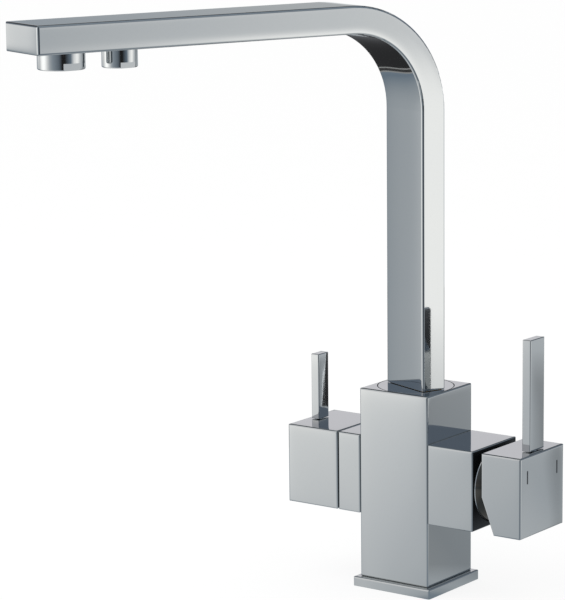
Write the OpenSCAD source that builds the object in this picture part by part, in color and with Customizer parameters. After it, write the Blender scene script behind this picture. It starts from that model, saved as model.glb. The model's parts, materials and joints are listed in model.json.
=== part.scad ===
// Three way kitchen tap: a single lever mixer, a second lever for filtered water and one swivel spout.
// The origin is the centre of the base plate's underside, on the worktop. Z is up and the front is -Y.
// The mixer handle is at +X, the filter handle at -X, and the spout stands turned from the front to -X.

/* [Body] */
// Side of the square section that the column, the arms and the handles share
section_w = 45; // [43.6:0.2:50]
// Height of the column's top above the worktop
column_top = 113.4; // [113:0.2:140]
// Side of the square base plate
base_w = 51; // [50:0.5:70]
// Thickness of the base plate
base_t = 5.4; // [4:0.2:9]
// Radius of the polished outer edges
edge_r = 1; // [0.5:0.1:1.6]
// Depth below the column's top of the axis that both handles turn on
arm_down = 49.3; // [49:0.1:57]

/* [Arms] */
// Length of the mixer arm outside the column
mixer_arm_l = 29.3; // [28.8:0.1:40]
// Length of the filter arm outside the column
filter_arm_l = 14.9; // [12:0.1:25]

/* [Spout] */
// Width of the flat spout tube
spout_w = 34.7; // [32:0.1:38]
// Thickness of the spout tube, front to back where it stands
spout_t = 15.2; // [14:0.1:20]
// Wall of the spout tube
spout_wall = 1.5; // [1:0.1:2]
// Height of the spout's upper face above the worktop
spout_top = 328; // [250:1:420]
// Reach of the spout from its swivel axis to its end face
spout_reach = 240.8; // [239:0.2:300]
// Radius of the bend along the middle of the tube
bend_r = 52; // [30:1:70]
// Angle of the spout from the front towards the filter side
spout_turn = 20.9; // [0:0.1:45]

/* [Outlets] */
// Distance of the main outlet from the spout's end
main_in = 22.2; // [20.4:0.1:32]
// Diameter of the main aerator
main_d = 24.6; // [24:0.1:27]
// Height of the main aerator
main_h = 8.7; // [8.2:0.1:12]
// Distance between the two outlets
outlet_pitch = 33.8; // [28.6:0.1:90]
// Diameter of the filtered water aerator
filtered_d = 18.7; // [18:0.1:21]
// Height of the filtered water aerator
filtered_h = 9.7; // [9:0.1:13]

/* [Handles] */
// Gap between the mixer arm and the mixer handle
mixer_gap = 5.3; // [4.6:0.1:7]
// Length of the mixer handle
mixer_handle_l = 25.1; // [23.5:0.1:34]
// Seam between the filter arm and the filter handle
filter_gap = 0.5; // [0.3:0.1:1.2]
// Length of the filter handle
filter_handle_l = 34.1; // [30:0.1:45]
// Wall of both hollow handles
handle_wall = 3; // [2.4:0.1:3.4]
// Slope of the mixer handle's lower inner corner, which clears the arm when the handle tilts
relief_angle = 20.9; // [18:0.1:24]
// Depth below the handle axis at which that slope starts
relief_down = 1.8; // [0.5:0.1:4]

/* [Levers] */
// Thickness of both levers
lever_t = 5.2; // [4.6:0.1:7]
// Width of the mixer lever
mixer_lever_w = 14.3; // [8:0.1:20]
// Height of the mixer lever's top above the worktop
mixer_lever_top = 148.5; // [115:0.5:170]
// Distance from the mixer handle's outer face to its lever
mixer_lever_in = 3.4; // [3:0.1:5]
// Width of the filter lever
filter_lever_w = 9.6; // [7:0.1:20]
// Height of the filter lever's top above the worktop
filter_lever_top = 124.6; // [110:0.5:160]
// Distance from the filter handle's outer face to its lever
filter_lever_in = 3.8; // [3:0.1:8]

/* [Marks] */
// Width of the two temperature marks
mark_w = 1.2; // [0.8:0.1:2]
// Height of the temperature marks
mark_h = 7.2; // [5:0.1:10]
// Distance of each mark from the middle of the handle
mark_out = 15.3; // [12:0.1:17]
// Height of the marks' middle above the handle axis
mark_up = 11; // [6:0.1:13]

/* [Hidden] */
$fn = 96;
hexagon = 6;
slope_sides = 12;

// Clearances and overruns
over = 1;
fit = 0.05;
press = 0.01;
gap = 0.3;
wide_gap = 0.6;

// Common derived sizes
half = section_w / 2;
arm_z = column_top - arm_down;
mixer_end = half + mixer_arm_l;
filter_end = half + filter_arm_l;
main_at = spout_reach - main_in;
filtered_at = main_at - outlet_pitch;

// Colours of the finishes
chrome = "#c4c9cc";
brass = "#c8a85a";
rubber = "#262626";
nylon = "#e8e6da";
ceramic = "#f2efe6";
steel = "#a7abad";
mark_grey = "#4b525a";

// Foot of the column inside the base plate, and the gasket groove under the plate
base_rim = 7;
foot_r = base_w / 2 - base_rim;
foot_up = 1.5;
gasket_in = 2.5;
gasket_r = base_w / 2 - gasket_in;
gasket_w = 2.6;
gasket_t = 1.6;

// Tapped holes in the column's foot: three hose inlets and one fixing stud
inlet_r = 4.5;
inlet_l = 12;
stud_r = 3.4;
stud_l = 16;
stud_wall = 3.1;
stud_x = foot_r - stud_wall - stud_r;
inlet_x = 3;
inlet_out = 1.5;
filtered_x = -8;

// Waterways inside the column and the arms. An upright drilling is wider than the one that it meets
way_r = 3;
return_r = 1.9;
return_in = 5;
riser_r = 3.1;
mixed_x = 8.6;
wider = 0.3;

// Round spigots by which the arms sit in the column
arm_spigot_l = 10;
mixer_spigot_in = 2.5;
mixer_spigot_r = half - mixer_spigot_in;
filter_spigot_in = 7.5;
filter_spigot_r = half - filter_spigot_in;
return_up = filter_spigot_r - return_in;
pocket_floor = 4.5;
arm_seal_r = 1;
arm_seal_in = 7.7;

// Swivel joint in the column's top
rim_wall = 0.9;
recess_r = half - rim_wall;
washer_t = 0.8;
disc_t = 2.2;
disc_edge = 0.3;
flange_t = 1.2;
flange_out = 1.5;
socket_share = 65 / 108;
socket_r = recess_r * socket_share;
flange_r = socket_r + flange_out;
socket_floor = 1.9;
recess_z = column_top - washer_t - disc_t;
socket_z = arm_z + mixer_spigot_r + socket_floor;
spigot_r = socket_r - gap;
bearing_r = socket_r - fit;
spigot_wall = 4.7;
spigot_bore_r = spigot_r - spigot_wall;
groove_depth = 2.4;
groove_r = spigot_r - groove_depth;
spout_seal_r = (bearing_r - groove_r - fit) / 2;
seal_pitch = 3.4;
lower_bush_up = 1.4;
lower_bush_l = 3.4;
first_seal_up = 2.5;
upper_bush_down = 1.2;
upper_bush_l = 4.4;
screw_down = 3.4;
bush_depth = 1.3;
bush_groove_r = spigot_r - bush_depth;
lower_seal_z = socket_z + lower_bush_up + lower_bush_l + first_seal_up;
screw_z = recess_z - upper_bush_down - upper_bush_l - screw_down;
screw_groove_w = 4;

// Grub screws: radius, point radius and key size
grub_r = 2.5;
grub_point_r = 1.6;
key_r = 1.45;
key_l = 2.5;
grub_sink = 1;
grub_point_l = 4.1;

// Spout path
tube_z = spout_top - spout_t / 2;
inner_t = spout_t - 2 * spout_wall;
inner_w = spout_w - 2 * spout_wall;
foot_z = column_top + gap;
floor_z = tube_z - inner_t / 2;
under_z = tube_z - spout_t / 2;
cap_t = 2.2;
cap_plug_l = 5;
plug_l = 14;
plug_slot_w = 21;
plug_slot_down = 3;
plug_slot_play = 1.025;
tube_edge_r = 1.2;

// Inner tube that carries the filtered water by itself
inner_tube_r = 3.175;
inner_bore_r = 2.1;
plug_slot_t = 2 * (inner_tube_r + plug_slot_play);
tail_r = 4.45;
tail_down = 7;
tail_up = 4;
tail_socket_l = 7;
tail_seal_r = 0.75;
tail_seal_up = 2.6;
block_l = 20;
block_w = 20;
block_socket_l = 5;

// Aerators: thread radii, lips and inner steps
main_sleeve = 1.3;
main_thread_r = main_d / 2 - main_sleeve;
main_bore_wall = 1.8;
main_bore_r = main_thread_r - main_bore_wall;
filtered_sleeve = 1.35;
filtered_thread_r = filtered_d / 2 - filtered_sleeve;
filtered_bore_wall = 2.1;
filtered_bore_r = filtered_thread_r - filtered_bore_wall;
thread_l = 3.1;
aerator_seam = 0.3;
lip_t = 1.1;
lip_w = 1.3;
insert_flange_t = 0.8;
insert_slots = 3;
insert_slot_w = 0.8;
aerator_washer_t = 1;
aerator_edge_r = 0.7;
main_flat_share = 0.92;
main_flat_h = 3.7;
filtered_flat_share = 0.895;
filtered_flat_h = 3;
nipple_flange_out = 2;
nipple_flange_r = main_thread_r + nipple_flange_out;
nipple_flange_t = 1.5;

// Quarter turn valve of the filter side, lengths outwards from the arm's valve seat
valve_bore_r = 10.5;
valve_floor = 4.5;
valve_tail_r = 9.2;
valve_chamber_r = 8.2;
valve_gasket_t = 1.4;
valve_disc_t = 2.5;
valve_disc_hole_r = 2.1;
valve_disc_hole_out = 4.6;
valve_head_t = 2.3;
valve_thread_l = 8;
valve_hex_w = 24;
valve_hex_l = 5;
valve_neck_r = 6.5;
valve_neck_l = 7.4;
spindle_r = 4;
spindle_seal_r = 0.9;
spindle_square = 5.6;
spindle_square_l = 9;
window_w = 4;

// Single lever cartridge: lengths outwards from the floor of its pocket to the stem's pivot
arm_wall = 5;
cartridge_r = half - arm_wall;
cartridge_base_l = 7;
disc_l = 3.5;
carrier_l = 5;
pivot_up = 9;
pivot_in = 6.8;
nut_step = 1.5;
nut_thread_r = cartridge_r + nut_step;
nut_l = 6;
nut_hex_w = 2 * (cartridge_r - nut_step);
nut_hex_l = 4;
recess_l = 5;
port_r = 2.2;
port_out = 6.9;
port_up = 4.8;
mixed_r = 2.8;
mixed_down = 6.5;
port_seal_r = 0.8;
peg_r = 1.6;
peg_l = 2;
peg_in = 4.5;
peg_out = cartridge_r - peg_in;
housing_wall = 2.1;
cavity_r = cartridge_r - housing_wall;
fixed_disc_r = cavity_r - 2 * fit;
moving_disc_down = 2;
moving_disc_play = 0.4;
moving_disc_r = cavity_r - moving_disc_down - moving_disc_play;
mixing_r = 5.6;
mixing_tail_r = 4;
mixing_tail_down = 6;
mixing_l = 1.8;
rail_in = 3;
rail_w = 2;
rail_l = 9;
rail_t = 1.8;
rail_travel = 2.6;
neck_step = 3;
neck_r = cartridge_r - neck_step;
neck_wall = 2.5;
neck_bore_r = neck_r - neck_wall;
neck_out = 4;
rail_out = neck_bore_r - rail_in;
rotor_flange_play = 0.8;
rotor_flange_r = cavity_r - rotor_flange_play;
rotor_flange_t = 2;
rotor_slot_in = 4;
rotor_slot_h = 2 * (neck_bore_r - rotor_slot_in);
stem_w = 8.4;
stem_out = 21;
stem_in = 3.5;
finger_r = 2;
finger_l = 9.5;
ball_r = 2.5;
ball_slack = 0.4;
pin_r = 1.5;
pin_in = 1;
pin_l = 2 * (neck_bore_r - pin_in);

// Domed cap over the cartridge nut, centred on the stem's pivot
dome_in = 1;
dome_r = half - dome_in;
dome_t = 1;
dome_open_in = 5.2;
dome_open_r = dome_r - dome_open_in;
dome_rim = 0.8;

// Handles
boss_r = 7.5;
mixer_boss_in = 15;
access_r = 2.6;
plug_t = 2.4;
handle_grub_r = 2;
handle_key_r = 1.15;
lever_edge_r = 0.5;
lever_screw_r = 1.5;
lever_screw_l = 10;
lever_head_r = 2.5;
lever_head_t = 2.8;
lever_lift = 0.3;
mark_t = 0.5;

// Places worked out from the sizes above
pivot_x = mixer_end - pivot_in;
floor_x = pivot_x - pivot_up - carrier_l - 2 * disc_l - cartridge_base_l;
fixed_disc_x = floor_x + cartridge_base_l;
moving_disc_x = fixed_disc_x + disc_l;
carrier_x = moving_disc_x + disc_l;
rotor_x = carrier_x + carrier_l + gap;
shoulder_x = mixer_end - recess_l - nut_l;
neck_x = pivot_x + neck_out;
mixer_in_x = mixer_end + mixer_gap;
mixer_out_x = mixer_in_x + mixer_handle_l;
filter_in_x = filter_end + filter_gap;
filter_out_x = filter_in_x + filter_handle_l;
mixer_spigot_x = floor_x - pocket_floor;
seat_x = half - arm_spigot_l + valve_floor;
valve_disc_x = seat_x + valve_gasket_t;
valve_head_x = valve_disc_x + 2 * valve_disc_t;
valve_neck_x = filter_end + valve_hex_l;
valve_top_x = valve_neck_x + valve_neck_l;
square_x = valve_top_x + over;
spindle_end_x = square_x + spindle_square_l;
handle_bottom = arm_z - half;
handle_top = arm_z + half;
spindle_seal_x = valve_neck_x + valve_neck_l / 2;
filter_boss_x = square_x + gap;
filter_screw_x = square_x + spindle_square_l / 2;
filter_lever_x = filter_out_x - filter_lever_in - lever_t / 2;
mixer_boss_x = pivot_x + mixer_boss_in;
mixer_screw_x = pivot_x + (mixer_boss_in + stem_out) / 2;
mixer_lever_x = mixer_out_x - mixer_lever_in - lever_t / 2;

// Radius of the dome where it leaves the arm's end face, which its skirt carries on
dome_seat_r = sqrt(pow(dome_r, 2) - pow(pivot_in - dome_rim, 2));

// Tapped holes in the foot: x, y, radius and depth of hot, cold and filtered inlet and of the stud
foot_holes = [
    [inlet_x, port_out + inlet_out, inlet_r, inlet_l],
    [inlet_x, -port_out - inlet_out, inlet_r, inlet_l],
    [filtered_x, 0, inlet_r, inlet_l],
    [stud_x, 0, stud_r, stud_l]
];

// Ports of the cartridge from the handle axis: across, up and radius of hot, cold and mixed water
port_list = [
    [port_out, port_up, port_r],
    [-port_out, port_up, port_r],
    [0, -mixed_down, mixed_r]
];

// Both ends of the swivel's lower and upper bush
bush_places = [
    [socket_z + lower_bush_up, socket_z + lower_bush_up + lower_bush_l],
    [recess_z - upper_bush_down - upper_bush_l, recess_z - upper_bush_down]
];

// A rectangle with round corners, centred
module soft_rect(w, h, r) {
    square([w - 2 * r, h], center = true);
    square([w, h - 2 * r], center = true);
    for (sx = [-1, 1], sy = [-1, 1])
        translate([sx * (w / 2 - r), sy * (h / 2 - r)]) circle(r);
}

// A block between x0 and x1 and between z0 and z1, centred in Y, with all its edges rounded
module soft_block(x0, x1, y_w, z0, z1, r) {
    l = x1 - x0;
    h = z1 - z0;
    translate([(x0 + x1) / 2, 0, (z0 + z1) / 2])
        intersection() {
            translate([0, 0, -h / 2]) linear_extrude(h) soft_rect(l, y_w, r);
            rotate([90, 0, 0]) translate([0, 0, -y_w / 2]) linear_extrude(y_w) soft_rect(l, h, r);
            rotate([0, 90, 0]) translate([0, 0, -l / 2]) linear_extrude(l) soft_rect(h, y_w, r);
        }
}

// Upright round rod and ring between two heights
module rod(z0, z1, r) {
    translate([0, 0, z0]) cylinder(h = z1 - z0, r = r);
}

module ring(z0, z1, r_out, r_in) {
    difference() {
        rod(z0, z1, r_out);
        rod(z0 - over, z1 + over, r_in);
    }
}

// The same along X, on the handle axis
module rod_x(x0, x1, r) {
    translate([x0, 0, arm_z]) rotate([0, 90, 0]) cylinder(h = x1 - x0, r = r);
}

module ring_x(x0, x1, r_out, r_in) {
    difference() {
        rod_x(x0, x1, r_out);
        rod_x(x0 - over, x1 + over, r_in);
    }
}

// A square bar and a hexagon along X, on the handle axis
module bar_x(x0, x1, w) {
    translate([(x0 + x1) / 2, 0, arm_z]) cube([x1 - x0, w, w], center = true);
}

module hex_x(x0, x1, across) {
    translate([x0, 0, arm_z]) rotate([0, 90, 0])
        cylinder(h = x1 - x0, r = across / (2 * cos(180 / hexagon)), $fn = hexagon);
}

// A rod along Y at a given x and height
module rod_y(x, z, y0, y1, r) {
    translate([x, y1, z]) rotate([90, 0, 0]) cylinder(h = y1 - y0, r = r);
}

// A rubber ring round Z, or round X on the handle axis
module o_ring(z, ring_r, section_r) {
    translate([0, 0, z]) rotate_extrude() translate([ring_r, 0]) circle(section_r);
}

module o_ring_x(x, ring_r, section_r) {
    translate([x, 0, arm_z]) rotate([0, 90, 0]) rotate_extrude() translate([ring_r, 0]) circle(section_r);
}

// A headless screw along Y, its hexagon key socket in its outer end
module grub(x, z, y0, y1, r, socket_r) {
    difference() {
        rod_y(x, z, y0, y1, r);
        translate([x, y1 + over, z]) rotate([90, 0, 0])
            cylinder(h = key_l + over, r = socket_r, $fn = hexagon);
    }
}

// Things built along +X towards the front are turned to where the spout points
module spout_frame() {
    rotate([0, 0, -90 - spout_turn]) children();
}

// Three stretches of the spout's path: upright from z0, the bend, and level to the distance x1
module spout_run(z0, x1) {
    translate([0, 0, z0]) linear_extrude(tube_z - bend_r - z0) children();
    translate([bend_r, 0, tube_z - bend_r]) rotate([90, 0, 0]) rotate([0, 0, 90])
        rotate_extrude(angle = 90) translate([bend_r, 0]) children();
    translate([bend_r, 0, tube_z]) rotate([0, 90, 0]) linear_extrude(x1 - bend_r) children();
}

// Column, base and arms

module base_plate() {
    color(chrome) difference() {
        intersection() {
            soft_block(-base_w / 2, base_w / 2, base_w, -base_t, base_t, edge_r);
            translate([-base_w, -base_w, 0]) cube([2 * base_w, 2 * base_w, base_t + over]);
        }
        rod(-over, base_t + over, foot_r + fit);
        ring(-over, gasket_t, gasket_r, gasket_r - gasket_w);
    }
}

module base_gasket() {
    color(rubber) ring(0, gasket_t, gasket_r - fit, gasket_r - gasket_w + fit);
}

module column_waterways() {
    feed_z = foot_up + inlet_l;
    feed_r = port_r + wider;
    filtered_r = way_r + wider;
    for (side = [-1, 1]) {
        translate([inlet_x, side * port_out, 0]) rod(feed_z - over, arm_z + port_up + feed_r, feed_r);
        translate([0, side * port_out, port_up]) rod_x(inlet_x, mixer_spigot_x + over, port_r);
    }
    translate([filtered_x, 0, 0]) rod(feed_z - over, arm_z + filtered_r, filtered_r);
    rod_x(arm_spigot_l - half - over, filtered_x, way_r);
    translate([0, 0, -mixed_down]) rod_x(mixed_x, mixer_spigot_x + over, mixed_r);
    translate([mixed_x, 0, 0]) rod(arm_z - mixed_down - riser_r, socket_z + over, riser_r);
    translate([0, 0, return_up]) rod_x(arm_spigot_l - half - over, 0, return_r);
}

module column() {
    color(chrome) difference() {
        union() {
            soft_block(-half, half, section_w, base_t, column_top, edge_r);
            rod(foot_up, base_t + edge_r, foot_r);
        }
        rod(recess_z, column_top + over, recess_r);
        rod(socket_z, recess_z + over, socket_r);
        rod(arm_z + return_up - return_r - wider, socket_z + over, tail_r + fit);
        rod_x(mixer_spigot_x, half + over, mixer_spigot_r + fit);
        rod_x(-half - over, arm_spigot_l - half, filter_spigot_r + fit);
        for (h = foot_holes)
            translate([h[0], h[1], 0]) rod(foot_up - over, foot_up + h[3], h[2]);
        column_waterways();
        rod_y(0, screw_z, groove_r, half + over, grub_r);
    }
}

module mixer_arm() {
    color(chrome) difference() {
        union() {
            soft_block(half, mixer_end, section_w, handle_bottom, handle_top, edge_r);
            rod_x(mixer_spigot_x, half + edge_r, mixer_spigot_r);
        }
        rod_x(floor_x, mixer_end + over, cartridge_r + fit);
        rod_x(shoulder_x, mixer_end + over, nut_thread_r);
        rod_x(mixer_end - recess_l, mixer_end + over, dome_seat_r + fit);
        ports(mixer_spigot_x - over, floor_x + over);
        peg_places() rod_x(floor_x - peg_l - fit, floor_x + over, peg_r + fit);
        arm_seal_groove(half - arm_seal_in, mixer_spigot_r);
    }
}

module filter_arm() {
    color(chrome) mirror([1, 0, 0]) difference() {
        union() {
            soft_block(half, filter_end, section_w, handle_bottom, handle_top, edge_r);
            rod_x(half - arm_spigot_l, half + edge_r, filter_spigot_r);
        }
        rod_x(seat_x, filter_end + over, valve_bore_r);
        rod_x(half - arm_spigot_l - over, seat_x + over, way_r);
        translate([0, 0, return_up]) rod_x(half - arm_spigot_l - over, seat_x + 2 * return_r, return_r);
        arm_seal_groove(half - arm_seal_in, filter_spigot_r);
    }
}

module arm_seal_groove(x, r) {
    ring_x(x - arm_seal_r - fit, x + arm_seal_r + fit, r + over, r - 2 * arm_seal_r);
}

module arm_o_rings() {
    seal_x = half - arm_seal_in;
    color(rubber) {
        o_ring_x(seal_x, mixer_spigot_r - arm_seal_r + fit / 2, arm_seal_r);
        o_ring_x(-seal_x, filter_spigot_r - arm_seal_r + fit / 2, arm_seal_r);
    }
}

// Swivel joint of the spout

module spout_grub_screw() {
    color(steel) {
        grub(0, screw_z, groove_r + wide_gap + grub_point_l, half - grub_sink, grub_r - fit, key_r);
        rod_y(0, screw_z, groove_r + wide_gap, groove_r + wide_gap + grub_point_l, grub_point_r);
    }
}

module swivel_washer() {
    color(nylon) ring(recess_z, recess_z + washer_t, recess_r - gap, socket_r + fit);
}

// A cover over the spigot's flange, just clear of the washer that the flange turns on
module swivel_disc() {
    z0 = recess_z + washer_t + fit;
    r = recess_r - gap;
    color(chrome) spout_frame() difference() {
        rotate_extrude() polygon([[0, z0], [r, z0], [r, column_top - disc_edge],
            [r - disc_edge, column_top], [0, column_top]]);
        translate([0, 0, z0 - over]) linear_extrude(disc_t + 2 * over)
            square([inner_t, inner_w], center = true);
        rod(z0 - over, z0 + flange_t, flange_r + fit);
    }
}

module spout_spigot() {
    z0 = socket_z + wide_gap;
    flange_z = recess_z + washer_t;
    color(brass) spout_frame() difference() {
        union() {
            rod(z0, flange_z + flange_t, spigot_r);
            rod(flange_z, flange_z + flange_t, flange_r);
            translate([0, 0, flange_z + flange_t / 2])
                linear_extrude(foot_z + plug_l - flange_z - flange_t / 2)
                    square([inner_t - 2 * fit, inner_w - 2 * fit], center = true);
        }
        rod(z0 - over, foot_z - plug_slot_down + over, spigot_bore_r);
        translate([0, 0, foot_z - plug_slot_down]) linear_extrude(plug_slot_down + plug_l + over)
            square([plug_slot_t, plug_slot_w], center = true);
        for (b = bush_places)
            ring(b[0], b[1], spigot_r + over, bush_groove_r);
        for (i = [0, 1])
            ring(lower_seal_z + i * seal_pitch - spout_seal_r - fit,
                lower_seal_z + i * seal_pitch + spout_seal_r + fit, spigot_r + over, groove_r);
        ring(screw_z - screw_groove_w / 2, screw_z + screw_groove_w / 2, spigot_r + over, groove_r);
    }
}

module swivel_bushes() {
    color(nylon) for (b = bush_places)
        ring(b[0] + fit, b[1] - fit, bearing_r, bush_groove_r + fit);
}

module spout_o_rings() {
    color(rubber) for (i = [0, 1])
        o_ring(lower_seal_z + i * seal_pitch, bearing_r - spout_seal_r, spout_seal_r);
}

// Spout

module spout_tube() {
    end_x = spout_reach - cap_t;
    color(chrome) spout_frame() difference() {
        spout_run(foot_z, end_x) soft_rect(spout_t, spout_w, tube_edge_r);
        spout_run(foot_z, end_x) square([inner_t, inner_w], center = true);
        translate([main_at, 0, 0]) rod(under_z - over, tube_z, main_thread_r + fit);
        translate([filtered_at, 0, 0]) rod(under_z - over, tube_z, filtered_thread_r + fit);
    }
}

module spout_end_cap() {
    color(chrome) spout_frame() {
        soft_plate(spout_reach - cap_t, spout_reach);
        translate([spout_reach - cap_t - cap_plug_l, 0, tube_z]) rotate([0, 90, 0])
            linear_extrude(cap_plug_l) square([inner_t - 2 * fit, inner_w - 2 * fit], center = true);
    }
}

// The end cap's plate, the spout's own section with its outer edges rounded
module soft_plate(x0, x1) {
    intersection() {
        soft_block(x0 - cap_t, x1, spout_w, under_z, spout_top, tube_edge_r);
        translate([x0, -spout_w, under_z - over]) cube([cap_t + over, 2 * spout_w, spout_t + 2 * over]);
    }
}

module inner_tube() {
    color(nylon) spout_frame() difference() {
        spout_run(socket_z - tail_down + tail_socket_l, filtered_at - block_l / 2 + block_socket_l)
            circle(inner_tube_r);
        spout_run(socket_z - tail_down + tail_socket_l, filtered_at - block_l / 2 + block_socket_l)
            circle(inner_bore_r);
    }
}

module inner_tube_tail() {
    z0 = socket_z - tail_down;
    color(brass) difference() {
        rod(z0, socket_z + tail_up + tail_socket_l / 2, tail_r);
        rod(z0 - over, z0 + tail_socket_l + over, inner_bore_r);
        rod(z0 + tail_socket_l, socket_z + tail_up + tail_socket_l, inner_tube_r + fit);
        ring(z0 + tail_seal_up - tail_seal_r - fit, z0 + tail_seal_up + tail_seal_r + fit,
            tail_r + over, tail_r - 2 * tail_seal_r - fit);
    }
}

module tail_o_ring() {
    color(rubber) o_ring(socket_z - tail_down + tail_seal_up, tail_r - tail_seal_r, tail_seal_r);
}

module filtered_outlet_block() {
    spigot_z = under_z - aerator_seam - thread_l;
    color(brass) spout_frame() difference() {
        union() {
            translate([filtered_at - block_l / 2, -block_w / 2, floor_z])
                cube([block_l, block_w, inner_t - fit]);
            translate([filtered_at, 0, 0]) rod(spigot_z, floor_z + over, filtered_thread_r);
        }
        translate([filtered_at - block_l / 2 - over, 0, tube_z]) rotate([0, 90, 0])
            cylinder(h = block_socket_l + over, r = inner_tube_r + fit);
        translate([filtered_at - block_l / 2, 0, tube_z]) rotate([0, 90, 0])
            cylinder(h = block_l / 2, r = inner_bore_r);
        translate([filtered_at, 0, 0]) rod(spigot_z - over, tube_z + inner_bore_r, filtered_bore_r);
    }
}

module main_outlet_nipple() {
    spigot_z = under_z - aerator_seam - thread_l;
    color(brass) spout_frame() translate([main_at, 0, 0]) difference() {
        union() {
            rod(spigot_z, floor_z + over, main_thread_r);
            rod(floor_z, floor_z + nipple_flange_t, nipple_flange_r);
        }
        rod(spigot_z - over, floor_z + nipple_flange_t + over, main_bore_r);
    }
}

// Heights inside an aerator of height h: its underside, the step that its insert hangs on, and its washer
function aerator_z(h) = under_z - aerator_seam - h;
function washer_z(h) = under_z - aerator_seam - thread_l - aerator_washer_t;
function step_z(h) = washer_z(h) - insert_flange_t;

// A threaded sleeve with a rounded lower edge, an inner lip and two flats for a spanner
module aerator_housing(r, h, thread_r, flat_share, flat_h) {
    z0 = aerator_z(h);
    inner_r = thread_r - lip_w;
    flat_r = r * flat_share;
    difference() {
        rotate_extrude() {
            translate([0, z0 + aerator_edge_r]) square([r, h - aerator_edge_r]);
            translate([0, z0]) square([r - aerator_edge_r, h]);
            translate([r - aerator_edge_r, z0 + aerator_edge_r]) circle(aerator_edge_r);
        }
        rod(z0 - over, z0 + h, inner_r - lip_w);
        rod(z0 + lip_t, z0 + h, inner_r);
        rod(step_z(h), z0 + h + over, thread_r + fit);
        for (side = [-1, 1])
            translate([-r, side * (flat_r + r / 2) - r / 2, z0 - over]) cube([2 * r, r, flat_h + over]);
    }
}

// The insert that mixes air in: a slotted face, a flange and a dome up into the outlet
module aerator_insert(h, thread_r, bore_r) {
    z0 = aerator_z(h) + lip_t;
    inner_r = thread_r - lip_w - fit;
    dome_z = washer_z(h);
    slot_pitch = inner_r / (insert_slots + 1);
    difference() {
        union() {
            rod(z0, step_z(h) + fit, inner_r);
            rod(step_z(h), dome_z, thread_r - fit);
            rod(dome_z - fit, dome_z + thread_l / 2, bore_r - wide_gap);
        }
        for (i = [1 : insert_slots])
            ring(z0 - over, z0 + lip_t, slot_pitch * i + insert_slot_w / 2,
                slot_pitch * i - insert_slot_w / 2);
    }
}

module aerator_washer(h, thread_r, bore_r) {
    ring(washer_z(h), washer_z(h) + aerator_washer_t, thread_r - fit, bore_r);
}

module main_aerator_housing() {
    color(chrome) spout_frame() translate([main_at, 0, 0])
        aerator_housing(main_d / 2, main_h, main_thread_r, main_flat_share, main_flat_h);
}

module main_aerator_insert() {
    color(nylon) spout_frame() translate([main_at, 0, 0])
        aerator_insert(main_h, main_thread_r, main_bore_r);
}

module main_aerator_washer() {
    color(rubber) spout_frame() translate([main_at, 0, 0])
        aerator_washer(main_h, main_thread_r, main_bore_r);
}

module filtered_aerator_housing() {
    color(chrome) spout_frame() translate([filtered_at, 0, 0])
        aerator_housing(filtered_d / 2, filtered_h, filtered_thread_r, filtered_flat_share,
            filtered_flat_h);
}

module filtered_aerator_insert() {
    color(nylon) spout_frame() translate([filtered_at, 0, 0])
        aerator_insert(filtered_h, filtered_thread_r, filtered_bore_r);
}

module filtered_aerator_washer() {
    color(rubber) spout_frame() translate([filtered_at, 0, 0])
        aerator_washer(filtered_h, filtered_thread_r, filtered_bore_r);
}

// Quarter turn valve and its handle, built outwards along +X and mirrored to the filter side

module valve_body() {
    color(brass) mirror([1, 0, 0]) difference() {
        union() {
            rod_x(seat_x + fit, filter_end - valve_thread_l, valve_tail_r);
            rod_x(filter_end - valve_thread_l, filter_end, valve_bore_r - fit);
            hex_x(filter_end, valve_neck_x, valve_hex_w);
            rod_x(valve_neck_x, valve_top_x, valve_neck_r);
        }
        rod_x(seat_x - over, valve_head_x + valve_head_t + gap, valve_chamber_r);
        rod_x(seat_x, valve_top_x + over, spindle_r + fit);
        translate([valve_disc_x + valve_disc_t, -window_w / 2, arm_z - valve_bore_r])
            cube([valve_disc_t, window_w, 2 * valve_bore_r]);
    }
}

module valve_gasket() {
    color(rubber) mirror([1, 0, 0])
        ring_x(seat_x, seat_x + valve_gasket_t, valve_chamber_r - fit,
            valve_disc_hole_out + valve_disc_hole_r);
}

module valve_fixed_disc() {
    color(ceramic) mirror([1, 0, 0]) difference() {
        rod_x(valve_disc_x, valve_disc_x + valve_disc_t, valve_chamber_r - fit);
        for (side = [-1, 1])
            translate([0, 0, side * valve_disc_hole_out])
                rod_x(valve_disc_x - over, valve_disc_x + valve_disc_t + over, valve_disc_hole_r);
    }
}

// The moving disc has two notches in its rim, a quarter turn away from the fixed disc's holes when shut
module valve_moving_disc() {
    x0 = valve_disc_x + valve_disc_t;
    color(ceramic) mirror([1, 0, 0]) difference() {
        rod_x(x0, x0 + valve_disc_t, valve_chamber_r - gap);
        for (side = [-1, 1]) {
            translate([0, side * valve_disc_hole_out, 0])
                rod_x(x0 - over, x0 + valve_disc_t + over, valve_disc_hole_r);
            translate([x0 - over, side * (valve_disc_hole_out + valve_chamber_r / 2) - valve_chamber_r / 2,
                arm_z - valve_disc_hole_r])
                cube([valve_disc_t + 2 * over, valve_chamber_r, 2 * valve_disc_hole_r]);
        }
    }
}

module valve_spindle() {
    color(brass) mirror([1, 0, 0]) difference() {
        union() {
            rod_x(valve_head_x, valve_head_x + valve_head_t, valve_chamber_r - gap);
            rod_x(valve_head_x + valve_head_t - fit, square_x, spindle_r);
            bar_x(square_x - fit, spindle_end_x, spindle_square);
        }
        ring_x(spindle_seal_x - spindle_seal_r - fit, spindle_seal_x + spindle_seal_r + fit,
            spindle_r + over, spindle_r - 2 * spindle_seal_r - fit);
    }
}

module spindle_o_ring() {
    color(rubber) mirror([1, 0, 0]) o_ring_x(spindle_seal_x, spindle_r - spindle_seal_r, spindle_seal_r);
}

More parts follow.
